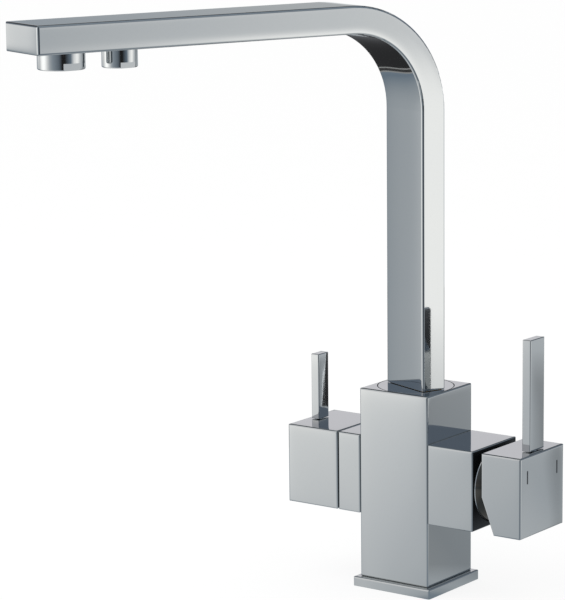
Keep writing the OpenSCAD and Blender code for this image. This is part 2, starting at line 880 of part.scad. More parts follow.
// A hollow handle, open towards the arm, with a boss round its square drive and a place for its lever
module hollow_handle(in_x, out_x, boss_x, drive_x, drive_w, screw_x, lever_x) {
    difference() {
        union() {
            difference() {
                children();
                translate([in_x - over, -half + handle_wall, handle_bottom + handle_wall])
                    cube([out_x - in_x - handle_wall + over, section_w - 2 * handle_wall,
                        section_w - 2 * handle_wall]);
            }
            rod_x(boss_x, out_x - handle_wall + fit, boss_r);
        }
        bar_x(boss_x - over, drive_x + gap, drive_w + 2 * fit);
        rod_y(screw_x, arm_z, 0, boss_r + over, handle_grub_r);
        rod_y(screw_x, arm_z, half - handle_wall - over, half + over, access_r);
        translate([lever_x, 0, 0])
            rod(handle_top - handle_wall - over, handle_top + over, lever_screw_r + fit);
    }
}

// A flat lever bar that stands on a handle, tapped for the screw that holds it from inside
module lever(x, w, top_z) {
    difference() {
        translate([x, 0, 0])
            soft_block(-lever_t / 2, lever_t / 2, w, handle_top + lever_lift, top_z, lever_edge_r);
        translate([x, 0, 0]) rod(handle_top, handle_top + lever_screw_l + gap, lever_screw_r + fit);
    }
    translate([x, 0, 0]) ring(handle_top, handle_top + lever_lift + fit, lever_t / 2 - lever_edge_r,
        lever_screw_r + fit);
}

module lever_screw(x) {
    head_z = handle_top - handle_wall;
    translate([x, 0, 0]) difference() {
        union() {
            rod(head_z - lever_head_t, head_z, lever_head_r);
            rod(head_z - fit, handle_top + lever_screw_l, lever_screw_r);
        }
        translate([0, 0, head_z - lever_head_t - over]) cylinder(h = over + lever_head_t / 2, r = key_r,
            $fn = hexagon);
    }
}

module filter_handle() {
    color(chrome) mirror([1, 0, 0])
        hollow_handle(filter_in_x, filter_out_x, filter_boss_x, spindle_end_x, spindle_square,
            filter_screw_x, filter_lever_x)
            soft_block(filter_in_x, filter_out_x, section_w, handle_bottom, handle_top, edge_r);
}

module filter_lever() {
    color(chrome) mirror([1, 0, 0]) lever(filter_lever_x, filter_lever_w, filter_lever_top);
}

module filter_lever_screw() {
    color(steel) mirror([1, 0, 0]) lever_screw(filter_lever_x);
}

module filter_set_screw() {
    color(steel) mirror([1, 0, 0])
        grub(filter_screw_x, arm_z, spindle_square / 2, boss_r - fit, handle_grub_r - fit, handle_key_r);
}

module filter_screw_plug() {
    color(chrome) mirror([1, 0, 0])
        rod_y(filter_screw_x, arm_z, half - plug_t, half, access_r - fit);
}

// Single lever cartridge

module ports(x0, x1, wider = 0) {
    for (p = port_list)
        translate([0, p[0], p[1]]) rod_x(x0, x1, p[2] + wider);
}

// Places of the two pegs that keep the cartridge from turning
module peg_places() {
    for (side = [-1, 1])
        translate([0, side * peg_out, 0]) children();
}

module cartridge_base() {
    color(nylon) difference() {
        union() {
            rod_x(floor_x, fixed_disc_x, cartridge_r);
            peg_places() rod_x(floor_x - peg_l, floor_x + over, peg_r);
        }
        ports(floor_x - over, fixed_disc_x + over);
        ports(floor_x - over, floor_x + 2 * port_seal_r, 2 * port_seal_r + fit);
    }
}

module cartridge_seals() {
    color(rubber) for (p = port_list)
        translate([0, p[0], p[1]]) o_ring_x(floor_x + port_seal_r, p[2] + port_seal_r, port_seal_r);
}

module cartridge_housing() {
    cavity_x = rotor_x + rotor_flange_t + gap / 2;
    color(nylon) difference() {
        union() {
            rod_x(fixed_disc_x, shoulder_x, cartridge_r);
            rod_x(shoulder_x - over, neck_x, neck_r);
        }
        rod_x(fixed_disc_x - over, cavity_x, cavity_r);
        rod_x(cavity_x - over, neck_x + over, neck_bore_r);
    }
}

module cartridge_fixed_disc() {
    color(ceramic) difference() {
        rod_x(fixed_disc_x, moving_disc_x, fixed_disc_r);
        ports(fixed_disc_x - over, moving_disc_x + over);
    }
}

// The moving disc sits low when shut. The hollow in its face then meets the mixed port only
module cartridge_moving_disc() {
    x0 = moving_disc_x - over;
    x1 = moving_disc_x + mixing_l;
    color(ceramic) difference() {
        translate([0, 0, -moving_disc_down]) rod_x(moving_disc_x, carrier_x, moving_disc_r);
        rod_x(x0, x1, mixing_r);
        translate([0, 0, -mixing_tail_down]) rod_x(x0, x1, mixing_tail_r);
        translate([x0, -mixing_tail_r, arm_z - mixing_tail_down])
            cube([x1 - x0, 2 * mixing_tail_r, mixing_tail_down]);
    }
}

module disc_carrier() {
    slot_w = 2 * (ball_r + ball_slack);
    ball_x = pivot_x - finger_l;
    color(nylon) {
        difference() {
            translate([0, 0, -moving_disc_down]) rod_x(carrier_x, carrier_x + carrier_l, moving_disc_r);
            bar_x(ball_x - ball_r - wide_gap, carrier_x + carrier_l + over, slot_w);
        }
        rails(carrier_x + carrier_l - over, rotor_x + rail_t - gap, rail_w, rail_l, moving_disc_down);
    }
}

// Two rails on the carrier slide in grooves of the rotor, so that both turn together
module rails(x0, x1, w, l, down) {
    for (side = [-1, 1])
        translate([(x0 + x1) / 2, side * rail_out, arm_z - down]) cube([x1 - x0, w, l], center = true);
}

module cartridge_rotor() {
    color(nylon) difference() {
        union() {
            rod_x(rotor_x, neck_x, neck_bore_r - fit);
            rod_x(rotor_x, rotor_x + rotor_flange_t, rotor_flange_r);
        }
        translate([rotor_x - over, -stem_w / 2 - gap, arm_z - rotor_slot_h / 2])
            cube([neck_x - rotor_x + 2 * over, stem_w + 2 * gap, rotor_slot_h]);
        rails(rotor_x - over, rotor_x + rail_t, rail_w + 4 * fit, rail_l + 2 * rail_travel, 0);
        rod_y(pivot_x, arm_z, -cartridge_r, cartridge_r, pin_r + press);
    }
}

module stem_pin() {
    color(steel) rod_y(pivot_x, arm_z, -pin_l / 2, pin_l / 2, pin_r);
}

module cartridge_stem() {
    color(brass) difference() {
        union() {
            bar_x(pivot_x - stem_in, pivot_x + stem_out, stem_w);
            rod_x(pivot_x - finger_l, pivot_x - stem_in + fit, finger_r);
            translate([pivot_x - finger_l, 0, arm_z]) sphere(ball_r);
        }
        rod_y(pivot_x, arm_z, -cartridge_r, cartridge_r, pin_r + fit);
    }
}

module cartridge_nut() {
    color(brass) difference() {
        union() {
            rod_x(shoulder_x, shoulder_x + nut_l, nut_thread_r - fit);
            hex_x(shoulder_x + nut_l - fit, shoulder_x + nut_l + nut_hex_l, nut_hex_w);
        }
        rod_x(shoulder_x - over, mixer_end + over, neck_r + fit);
    }
}

module dome_cap() {
    rim = pivot_in - dome_rim;
    color(chrome) translate([pivot_x, 0, arm_z]) rotate([0, 90, 0]) rotate_extrude() {
        intersection() {
            difference() {
                circle(dome_r);
                circle(dome_r - dome_t);
            }
            translate([dome_open_r, rim]) square([dome_r, dome_r]);
        }
        translate([dome_seat_r - dome_t, pivot_in - recess_l]) square([dome_t, recess_l - dome_rim]);
    }
}

// Mixer handle

// The handle's block, with its lower inner corner sloped. The slope's edges are eased by small flats
module mixer_block() {
    reach = 2 * section_w;
    intersection() {
        soft_block(mixer_in_x, mixer_out_x, section_w, handle_bottom, handle_top, edge_r);
        translate([mixer_in_x, 0, arm_z - relief_down]) rotate([0, -relief_angle, 0])
            translate([reach / 2, 0, -reach]) linear_extrude(2 * reach)
                soft_rect(reach, section_w, edge_r, $fn = slope_sides);
    }
}

module mixer_handle() {
    color(chrome) difference() {
        hollow_handle(mixer_in_x, mixer_out_x, mixer_boss_x, pivot_x + stem_out, stem_w,
            mixer_screw_x, mixer_lever_x)
            mixer_block();
        mark_places() mark_inlay(fit);
    }
}

module mixer_lever() {
    color(chrome) lever(mixer_lever_x, mixer_lever_w, mixer_lever_top);
}

module mixer_lever_screw() {
    color(steel) lever_screw(mixer_lever_x);
}

module mixer_set_screw() {
    color(steel) grub(mixer_screw_x, arm_z, stem_w / 2, boss_r - fit, handle_grub_r - fit, handle_key_r);
}

module mixer_screw_plug() {
    color(chrome) rod_y(mixer_screw_x, arm_z, half - plug_t, half, access_r - fit);
}

module mark_places() {
    for (side = [-1, 1])
        translate([mixer_out_x - mark_t, side * mark_out, arm_z + mark_up]) children();
}

module mark_inlay(slack) {
    w = mark_w + 2 * slack;
    h = mark_h + 2 * slack;
    translate([0, -w / 2, -h / 2]) cube([mark_t + (slack > 0 ? over : 0), w, h]);
}

module temperature_marks() {
    color(mark_grey) mark_places() mark_inlay(0);
}

base_plate();
base_gasket();
column();
mixer_arm();
filter_arm();
arm_o_rings();
spout_grub_screw();
swivel_washer();
swivel_disc();
spout_spigot();
swivel_bushes();
spout_o_rings();
spout_tube();
spout_end_cap();
inner_tube();
inner_tube_tail();
tail_o_ring();
filtered_outlet_block();
main_outlet_nipple();
main_aerator_housing();
main_aerator_insert();
main_aerator_washer();
filtered_aerator_housing();
filtered_aerator_insert();
filtered_aerator_washer();
valve_body();
valve_gasket();
valve_fixed_disc();
valve_moving_disc();
valve_spindle();
spindle_o_ring();
filter_handle();
filter_lever();
filter_lever_screw();
filter_set_screw();
filter_screw_plug();
cartridge_base();
cartridge_seals();
cartridge_housing();
cartridge_fixed_disc();
cartridge_moving_disc();
disc_carrier();
cartridge_rotor();
stem_pin();
cartridge_stem();
cartridge_nut();
dome_cap();
mixer_handle();
mixer_lever();
mixer_lever_screw();
mixer_set_screw();
mixer_screw_plug();
temperature_marks();
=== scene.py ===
"""Looks of the three way filtered water tap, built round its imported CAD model.

The chromium plated castings, handles and spout keep their CAD solids and get a polished plating that
mirrors a small photo studio. Wire screens in both outlets and the screw threads under the foot are added.
"""
import json
import math
from functools import partial

import bpy
import numpy as np
from mathutils import Matrix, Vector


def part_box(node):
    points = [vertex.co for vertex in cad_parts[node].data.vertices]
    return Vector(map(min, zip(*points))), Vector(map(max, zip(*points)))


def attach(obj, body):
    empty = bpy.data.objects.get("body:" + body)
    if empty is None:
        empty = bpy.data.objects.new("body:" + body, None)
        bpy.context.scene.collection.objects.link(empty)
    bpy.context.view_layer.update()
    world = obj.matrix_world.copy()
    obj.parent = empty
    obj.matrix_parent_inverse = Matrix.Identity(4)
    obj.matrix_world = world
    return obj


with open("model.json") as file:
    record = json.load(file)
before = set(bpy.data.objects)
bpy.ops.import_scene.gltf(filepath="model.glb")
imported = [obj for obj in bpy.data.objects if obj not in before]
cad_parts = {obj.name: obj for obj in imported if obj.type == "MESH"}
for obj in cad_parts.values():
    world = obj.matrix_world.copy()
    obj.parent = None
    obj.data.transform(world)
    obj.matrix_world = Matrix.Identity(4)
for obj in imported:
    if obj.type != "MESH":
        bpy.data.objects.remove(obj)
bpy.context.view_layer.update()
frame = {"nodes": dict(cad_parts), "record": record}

bl_info = {
    "name": "Filtered water tap looks",
    "version": (1, 0, 0),
    "blender": (4, 5, 0),
    "location": "3D View > Sidebar > Tap",
    "description": "Finishes, outlet screens, threads and studio of a three way kitchen tap",
    "category": "Object",
}

MM = 0.001
NODES = frame["nodes"]

# The photograph's frame in pixels, and its camera as worked out from the tap's straight edges
PHOTO_WIDTH_PX = 565
PHOTO_HEIGHT_PX = 600
FOCAL_PX = 2854.6175
CAMERA_AIM = np.array([-91.582, 0.0, 152.4406]) * MM
CAMERA_DISTANCE = 1635.5546 * MM
CAMERA_AZIMUTH = math.radians(36.3833)
CAMERA_ELEVATION = math.radians(10.4584)
CAMERA_ROLL = math.radians(-0.6024)
CAMERA_CLIP = (0.01, 50.0)
SENSOR_MM = 36.0

# Nodes that share a finish
SQUARE_CASTINGS = ("base_plate", "column", "mixer_arm", "filter_arm")
ARMS = ("mixer_arm", "filter_arm")
ROUND_CASTINGS = ("main_aerator_housing", "filtered_aerator_housing",
                  "mixer_screw_plug", "filter_screw_plug")
HANDLES = ("mixer_handle", "filter_handle")
LEVERS = ("mixer_lever", "filter_lever")
SPOUT_PARTS = ("spout_tube", "spout_end_cap")
BRASS_PARTS = ("spout_spigot", "inner_tube_tail", "filtered_outlet_block", "main_outlet_nipple",
               "valve_body", "valve_spindle", "cartridge_stem", "cartridge_nut")
SEALS = ("base_gasket", "arm_o_rings", "spout_o_rings", "tail_o_ring", "main_aerator_washer",
         "filtered_aerator_washer", "valve_gasket", "spindle_o_ring", "cartridge_seals")
MOULDINGS = ("swivel_washer", "swivel_bushes", "inner_tube", "main_aerator_insert",
             "filtered_aerator_insert", "cartridge_base", "cartridge_housing", "disc_carrier",
             "cartridge_rotor")
CERAMIC_DISCS = ("valve_fixed_disc", "valve_moving_disc", "cartridge_fixed_disc", "cartridge_moving_disc")
SCREWS = ("spout_grub_screw", "filter_lever_screw", "filter_set_screw", "mixer_lever_screw",
          "mixer_set_screw", "stem_pin")

# Section and bend of the spout tube
SPOUT_WIDTH = 34.7 * MM
SPOUT_DEPTH = 15.2 * MM
BEND_RADIUS = 52.0 * MM

# How much more or less than the rest buffing has crowned these, along X, Y and Z. Less than 0 is a hollow
CROWN_SHARES = {"column": (1.0, 0.3, 1.0), "mixer_handle": (1.0, -0.5, 1.0), "mixer_lever": (0.2, 0.1, 0.4),
                "filter_handle": (1.6, 1.0, 1.0), "filter_lever": (1.6, 2.0, 1.0)}
# The same for the spout tube, across it and through its depth
SPOUT_CROWN_SHARES = (0.5, 2 / 3)
# How many times over the distance from a flat's middle is squared. More keeps the crown near the edges
BLOCK_ROUNDS = 3
BAR_ROUNDS = 2
# Length and height, in mm, of the slow waves that buffing leaves in each kind of piece
CAST_WAVES = (60, 0.02)
TURNED_WAVES = (30, 0.006)
HANDLE_WAVES = (40, 0.012)
LEVER_WAVES = (25, 0.006)
SPOUT_WAVES = (60, 0.012)
# Least and most haze of the plating, as shares of its roughness, and the roughness where shade is painted
# dark
HAZE_SHARES = (0.7, 1.5)
PAINTED_SHADE_ROUGHNESS = 0.5
# Widths of the plain plating round the painted shade in the arms' open ends and of the painted highlight on
# the cap's rim, of the painted shade line round the swivel disc, and of the handles' plated walls round the
# shade painted inside them, and how softly such areas end
BRIGHT_RIM = 0.4 * MM
SEAM_RIM = 0.3 * MM
WALL = 1.1 * MM
RIM_FADE = 0.1 * MM
# Nearly all values of a noise lie between these
NOISE_SPAN = (0.3, 0.7)

# The outlet screens: name, housing and radius. Then how far inside they sit, and how a wire is faceted
SCREENS = (("main_outlet_screen", "main_aerator_housing", 8.3 * MM),
           ("filtered_outlet_screen", "filtered_aerator_housing", 5.3 * MM))
SCREEN_RECESS = 0.7 * MM
WIRE_SIDES = 6
WIRE_STEPS_PER_PITCH = 4
# The threads: pitches, steps in a turn, how deep their foot is sunk, and half its width over the pitch
STUD_PITCH = 1.25 * MM
HOSE_PITCH = 1.0 * MM
THREAD_STEPS = 32
THREAD_SUNK = 0.02 * MM
THREAD_FOOT = 0.42

# What stands round the tap, as the plating mirrors it. Each row is an azimuth from +X in degrees, and a
# brightness as a share of white. This one is the far edge of the table
HORIZON = (
    (-180, 1.15), (-174, 1.14), (-170, 1.0), (-167, 0.75), (-164, 0.95), (-161, 1.32), (-147, 1.78),
    (-133, 1.78), (-119, 1.1), (-105, 0.57), (-91, 0.39), (-63, 0.2), (-49, 0.02), (-35, 0.02), (-7, 0.24),
    (3, 0.66), (6, 0.74), (10, 0.84), (12, 0.9), (14, 0.94), (16, 1.0), (28, 1.5), (40, 1.4), (49, 1.05),
    (63, 0.61), (77, 0.48), (91, 0.15), (105, 0.64), (119, 0.82), (142, 0.7), (156, 0.51), (180, 1.15),
)
# The middle of the table: a bright side at the left, the dark side of the camera, a bright side at the right
TABLE = (
    (-180, 0.25), (-172, 0.42), (-166, 0.53), (-162, 0.7), (-150, 1.3), (-141, 1.75), (-134, 1.45),
    (-131, 1.36), (-128, 1.32), (-125, 1.25), (-122, 1.15), (-120, 1.07), (-117, 0.92), (-113, 0.78),
    (-107, 0.72), (-100, 0.55), (-91, 0.42), (-63, 0.2), (-49, 0.03), (-35, 0.03), (-7, 0.24),
    (3, 0.8), (6, 1.0), (8, 1.2), (10, 1.38), (14, 1.42), (30, 1.4), (40, 1.0), (46, 0.68), (55, 0.68),
    (127, 0.6), (180, 0.25),
)
# The table at the tap's foot
FOOT = (
    (-180, 0.3), (-165, 0.5), (-127, 0.74), (-110, 0.7), (-80, 0.66), (-62, 0.58), (-45, 0.33), (-30, 0.34),
    (-15, 0.46), (0, 0.5), (60, 0.48), (90, 0.7), (150, 0.7), (168, 0.4), (180, 0.3),
)
# The room a little above the table's edge, its walls, what hangs high up, and the even ceiling
SKIRTING = (
    (-180, 0.5), (-160, 0.8), (-141, 1.4), (-120, 1.1), (-105, 0.6), (-60, 0.2), (0, 0.4), (25, 0.6),
    (57, 0.6), (100, 0.5), (120, 0.55), (125, 0.48), (132, 0.36), (150, 0.36), (180, 0.5),
)
WALLS = (
    (-180, 0.26), (-165, 0.26), (-150, 0.6), (-130, 0.8), (-110, 0.5), (-60, 0.2), (0, 0.3), (57, 0.23),
    (90, 0.3), (110, 0.6), (121, 0.75), (128, 0.77), (145, 0.5), (165, 0.26), (180, 0.26),
)
HIGH = (
    (-180, 0.1), (-165, 0.15), (-150, 0.6), (-129, 1.1), (-110, 0.6), (-60, 0.25), (0, 0.4), (57, 0.3),
    (90, 0.15), (110, 0.08), (180, 0.1),
)
CEILING = 0.7
# Tint by brightness: the shades are slate blue, and the lights are a little warm
TINT_LEVELS = (0.0, 0.1, 0.25, 0.45, 0.8, 1.3)
TINT_RED = (1.0, 0.95, 0.77, 0.91, 0.975, 1.01)
TINT_BLUE = (1.0, 1.05, 1.25, 1.07, 1.02, 0.975)
# What red, green and blue are multiplied by, besides: the skirting is creamy and the walls are a lilac grey
NO_BLUSH = (1.0, 1.0, 1.0)
SKIRTING_BLUSH = (1.05, 1.0, 0.96)
WALLS_BLUSH = (1.03, 0.985, 1.0)
# The brightness that a ramp's 1 stands for
BRIGHTEST = 2.0
# Sines of the elevations between which one layer of the room fades into the next
ABOVE_TABLE = (0.0, 0.052)
UP_TO_WALLS = (0.105, 0.19)
UP_TO_HIGH = (0.3, 0.45)
UP_TO_CEILING = (0.85, 0.95)

# The table top in metres: where its middle and its far edge begin to be mirrored, and its size. FLOOR_GLOW
# is how much of what the eye sees of it is plain white, and the rest takes the tap's shadow
TABLE_MIDDLE = 0.85
TABLE_FAR = (2.35, 3.6)
FLOOR_RADIUS = 5.0
FLOOR_CORNERS = 64
FLOOR_GLOW = 0.85
# The tap's own shadow on the table, away from the bright left side: the azimuth of its middle line, where
# it starts and ends on each side of that line and along it, and how much light is left at its two sides
SHADOW_AZIMUTH = math.radians(57)
SHADOW_RIGHT = (-58 * MM, -48 * MM)
SHADOW_LEFT = 31 * MM
SHADOW_START = (22 * MM, 60 * MM)
SHADOW_END = (620 * MM, 780 * MM)
SHADOW_LIGHT = (0.64, 0.82)
# A black cloth lies behind, to the left of a line along the shadow and of a line at a second azimuth. These
# are how far the lines pass beside the tap, the widths of what its two pale hems and its pale edge take up,
# and between which distances from the tap it lies
CLOTH_SIDE = 27 * MM
CLOTH_AZIMUTH = math.radians(-15)
CLOTH_BACK = -104 * MM
CLOTH_HEMS = 50 * MM
CLOTH_EDGE = 3 * MM
CLOTH_SPAN = (360 * MM, 950 * MM)
# The share of the hems and of the edge at which they begin to fade out
CLOTH_FADE = 0.9
# Brightness from the cloth's back over its hems: a pale hem, black, a narrower pale hem, and black
HEM_ROWS = ((0.0, 0.2), (0.22, 0.03), (0.7, 0.2), (0.88, 0.01))
# Distances in metres between which the cloth gets a little paler
CLOTH_PALING = (0.4, 0.9)

# The soft lamp: its place in metres and its turns round X, Y and Z
LAMP_PLACE = (-0.6, -1.0, 1.5)
LAMP_TURNS = (math.radians(32), 0.0, math.radians(-31))


def linear(hex_colour):
    """sRGB hex colour as linear red, green, blue and 1 for alpha."""
    share = np.array([int(hex_colour[i:i + 2], 16) for i in (1, 3, 5)]) / 255
    value = np.where(share <= 0.04045, share / 12.92, ((share + 0.055) / 1.055) ** 2.4)
    return (*map(float, value), 1.0)


def add_node(tree, kind, links=None, **settings):
    """Adds a node of a kind with its settings. A value in links is a socket to join, a node whose first
    output in use is joined, or a number or colour to set."""
    node = tree.nodes.new(kind)
    for name, value in settings.items():
        setattr(node, name, value)
    for key, value in (links or {}).items():
        if isinstance(value, bpy.types.Node):
            value = next(socket for socket in value.outputs if socket.enabled)
        if isinstance(value, bpy.types.NodeSocket):
            tree.links.new(value, node.inputs[key])
        else:
            node.inputs[key].default_value = value
    return node


def new_material(name):
    """An empty node material, the tree that its nodes go in, and the piece's own coordinates in it."""
    material = bpy.data.materials.new(name)
    material.use_nodes = True
    tree = material.node_tree
    tree.nodes.clear()
    return material, tree, add_node(tree, "ShaderNodeTexCoord").outputs["Object"]


def finished(material, shader):
    """The material, with its shader joined to its output."""
    add_node(material.node_tree, "ShaderNodeOutputMaterial", {"Surface": shader})
    return material


def crown_drop(tree, share, half, slopes, rounds):
    """How far buffing has lowered flats, in mm. On each axis it is the distance from their middle as a share
    of half their width, squared rounds times over, times what gives the slope at the edge."""
    for _ in range(rounds):
        share = add_node(tree, "ShaderNodeVectorMath", {0: share, 1: share}, operation="MULTIPLY")
    drop = [slope * h / MM / 2 ** rounds for slope, h in zip(slopes, half)]
    return add_node(tree, "ShaderNodeVectorMath", {0: share, 1: drop}, operation="DOT_PRODUCT")


def block_crown(tree, place, node, look, rounds):
    """The crown of a block's flats, from the distances to the block's middle along X, Y and Z."""
    low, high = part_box(node)
    half = (high - low) / 2
    middle = (high + low) / 2
    share = add_node(tree, "ShaderNodeMapping",
                     {"Vector": place, "Location": [-m / h for m, h in zip(middle, half)],
                      "Scale": [1 / h for h in half]})
    slopes = [look.crown_slope * s for s in CROWN_SHARES.get(node, (1.0, 1.0, 1.0))]
    return crown_drop(tree, share, half, slopes, rounds)


def spout_crown(tree, place, look):
    """The crown of the bent spout tube, from the distance across the tube and the distance to its centre
    line. That one is the length of what is left of the bend's centre and above it, less its radius."""
    _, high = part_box("spout_tube")
    outlet = next(m for m in frame["record"]["mounts"] if m["name"] == "main_outlet")["pos_m"]
    reach = math.hypot(outlet[0], outlet[1])
    along = (outlet[0] / reach, outlet[1] / reach, 0.0)
    across = (-along[1], along[0], 0.0)
    bend_z = high.z - SPOUT_DEPTH / 2 - BEND_RADIUS
    out = add_node(tree, "ShaderNodeVectorMath", {0: place, 1: along}, operation="DOT_PRODUCT")
    side = add_node(tree, "ShaderNodeVectorMath", {0: place, 1: across}, operation="DOT_PRODUCT")
    height = add_node(tree, "ShaderNodeSeparateXYZ", {"Vector": place}).outputs["Z"]
    left = add_node(tree, "ShaderNodeMath", {0: BEND_RADIUS, 1: out}, operation="SUBTRACT")
    above = add_node(tree, "ShaderNodeMath", {0: height, 1: bend_z}, operation="SUBTRACT")
    both = add_node(tree, "ShaderNodeCombineXYZ", {"X": left, "Y": above})
    corner = add_node(tree, "ShaderNodeVectorMath", {0: both, 1: (0.0, 0.0, 0.0)}, operation="MAXIMUM")
    radius = add_node(tree, "ShaderNodeVectorMath", {0: corner}, operation="LENGTH")
    off = add_node(tree, "ShaderNodeMath", {0: radius, 1: BEND_RADIUS}, operation="SUBTRACT")
    section = add_node(tree, "ShaderNodeCombineXYZ", {"X": side, "Y": off})
    half = (SPOUT_WIDTH / 2, SPOUT_DEPTH / 2)
    share = add_node(tree, "ShaderNodeMapping",
                     {"Vector": section, "Scale": (1 / half[0], 1 / half[1], 1.0)})
    slopes = [look.crown_slope * s for s in SPOUT_CROWN_SHARES]
    return crown_drop(tree, share, (*half, 1.0), (*slopes, 0.0), BAR_ROUNDS)


def past_all(tree, limits):
    """1 where every value is past its second limit, 0 where one is short of its first limit, and straight
    rises between. limits holds rows of a value and its two limits."""
    share = 1.0
    for value, first, second in limits:
        rise = add_node(tree, "ShaderNodeMapRange", {"Value": value, "From Min": first, "From Max": second})
        share = add_node(tree, "ShaderNodeMath", {0: share, 1: rise}, operation="MULTIPLY")
    return share


def inside_share(tree, place, node, wall, capped):
    """1 inside a hollow block and 0 within a wall's thickness of its outer faces. capped says whether its
    outer end is such a face too."""
    low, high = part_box(node)
    size = high - low
    middle = (high + low) / 2
    offset = add_node(tree, "ShaderNodeVectorMath", {0: place, 1: middle}, operation="SUBTRACT")
    part = add_node(tree, "ShaderNodeSeparateXYZ", {"Vector": offset})
    wide = [add_node(tree, "ShaderNodeMath", {0: part.outputs[axis]}, operation="ABSOLUTE") for axis in "YZ"]
    most = add_node(tree, "ShaderNodeMath", {0: wide[0], 1: wide[1]}, operation="MAXIMUM")
    limits = [(most, size.y / 2 - wall, size.y / 2 - wall - RIM_FADE)]
    if capped:
        outwards = add_node(tree, "ShaderNodeMath",
                            {0: part.outputs["X"], 1: math.copysign(1.0, middle.x)}, operation="MULTIPLY")
        limits.append((outwards, size.x / 2 - wall, size.x / 2 - wall - RIM_FADE))
    return past_all(tree, limits)


def rim_share(tree, place, node, axis, width):
    """1 within a width of a round piece's rim, and 0 further in. axis is the number of the axis it is turned
    round."""
    low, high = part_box(node)
    flat = [1.0, 1.0, 1.0]
    flat[axis] = 0.0
    offset = add_node(tree, "ShaderNodeVectorMath", {0: place, 1: (high + low) / 2}, operation="SUBTRACT")
    level = add_node(tree, "ShaderNodeVectorMath", {0: offset, 1: flat}, operation="MULTIPLY")
    radius = add_node(tree, "ShaderNodeVectorMath", {0: level}, operation="LENGTH")
    rim = (high - low)[(axis + 1) % 3] / 2 - width
    return past_all(tree, [(radius, rim, rim + RIM_FADE)])


def chrome_plate(name, look, waves, crown=None, painted_shade=None):
    """Chromium plated and buffed metal: a mirror with a faint haze and with the slow waves of buffing.
    waves holds their length and height in mm. crown gives the buffed drop of the flats towards their edges,
    and the last argument gives 1 where shade is painted on as a dark grey, matt colour."""
    material, tree, place = new_material(name)
    wave_mm, wave_height_mm = waves
    swell = add_node(tree, "ShaderNodeTexNoise",
                     {"Vector": place, "Scale": 1 / (wave_mm * MM), "Detail": 1.0, "Roughness": 0.4})
    # Buffing marks are a few hundredths of a millimetre apart. They are drawn at 0.6 mm so that they show
    marks = add_node(tree, "ShaderNodeTexNoise",
                     {"Vector": place, "Scale": 1 / (0.6 * MM), "Detail": 2.0, "Roughness": 0.6})
    rough = add_node(tree, "ShaderNodeMapRange",
                     {"Value": marks, "From Min": NOISE_SPAN[0], "From Max": NOISE_SPAN[1],
                      "To Min": look.chrome_roughness * HAZE_SHARES[0],
                      "To Max": look.chrome_roughness * HAZE_SHARES[1]})
    colour = add_node(tree, "ShaderNodeMix",
                      {"Factor": swell, "A": linear("#c2c5c7"), "B": (*look.chrome_colour, 1.0)},
                      data_type="RGBA")
    bump = add_node(tree, "ShaderNodeBump",
                    {"Height": swell, "Strength": 1.0, "Distance": wave_height_mm * MM})
    if crown:
        bump = add_node(tree, "ShaderNodeBump",
                        {"Height": crown(tree, place), "Strength": 1.0, "Distance": MM, "Normal": bump},
                        invert=True)
    # Painted shade: where the mask is 1, the colour is a dark grey (#3c3f42) and the roughness is matt
    if painted_shade:
        shade_and_open_floor = painted_shade(tree, place)
        colour = add_node(tree, "ShaderNodeMix", {"Factor": shade_and_open_floor, "A": colour, "B": linear("#3c3f42")},
                          data_type="RGBA")
        rough = add_node(tree, "ShaderNodeMix", {"Factor": shade_and_open_floor, "A": rough, "B": PAINTED_SHADE_ROUGHNESS},
                         data_type="FLOAT")
    return finished(material, add_node(tree, "ShaderNodeBsdfPrincipled",
                                       {"Base Color": colour, "Metallic": 1.0, "Roughness": rough,
                                        "Normal": bump}))


def patches(tree, place, tones, patch_mm, noise, rough):
    """A noise whose patches have a size in mm, the mix of two tones by it, and a roughness that it carries
    between two numbers. rough may also be one number, which is given back as it is."""
    pattern = add_node(tree, "ShaderNodeTexNoise", {"Vector": place, "Scale": 1 / (patch_mm * MM), **noise})
    first, second = (linear(tone) if isinstance(tone, str) else (*tone, 1.0) for tone in tones)
    colour = add_node(tree, "ShaderNodeMix", {"Factor": pattern, "A": first, "B": second}, data_type="RGBA")
    if isinstance(rough, tuple):
        rough = add_node(tree, "ShaderNodeMapRange",
                         {"Value": pattern, "From Min": NOISE_SPAN[0], "From Max": NOISE_SPAN[1],
                          "To Min": rough[0], "To Max": rough[1]})
    return pattern, colour, rough


def mottled(name, tones, patch_mm, noise, rough, shading, relief=None, bumps=None):
    """A finish in patches between two tones. shading sets the rest of its shader. relief holds the strength
    and the depth in mm of its bumps, which follow the patches unless bumps gives another pattern."""
    material, tree, place = new_material(name)
    pattern, colour, rough = patches(tree, place, tones, patch_mm, noise, rough)
    inputs = {"Base Color": colour, "Roughness": rough, **shading}
    if relief:
        strength, depth_mm = relief
        inputs["Normal"] = add_node(tree, "ShaderNodeBump",
                                    {"Height": bumps(tree, place) if bumps else pattern,
                                     "Strength": strength, "Distance": depth_mm * MM})
    return finished(material, add_node(tree, "ShaderNodeBsdfPrincipled", inputs))


def shaded_dome_chrome(name, look):
    """Chrome on the cap that hides in the gap, its colour darkened as painted shade: a dark mirror with a
    faint haze, and a painted highlight along its rim."""
    material, tree, place = new_material(name)
    # The two dark tones are painted shade
    _, shaded_tone, rough = patches(tree, place, ("#635f59", "#53504b"), patch_mm=9, noise={"Detail": 2.0},
                              rough=(look.chrome_roughness, 0.12))
    # A pale band along the rim is a painted highlight
    rim = rim_share(tree, place, "dome_cap", 0, BRIGHT_RIM)
    rim_highlighted = add_node(tree, "ShaderNodeMix", {"Factor": rim, "A": shaded_tone, "B": linear("#e8ebec")},
                      data_type="RGBA")
    return finished(material, add_node(tree, "ShaderNodeBsdfPrincipled",
                                       {"Base Color": rim_highlighted, "Metallic": 1.0, "Roughness": rough}))


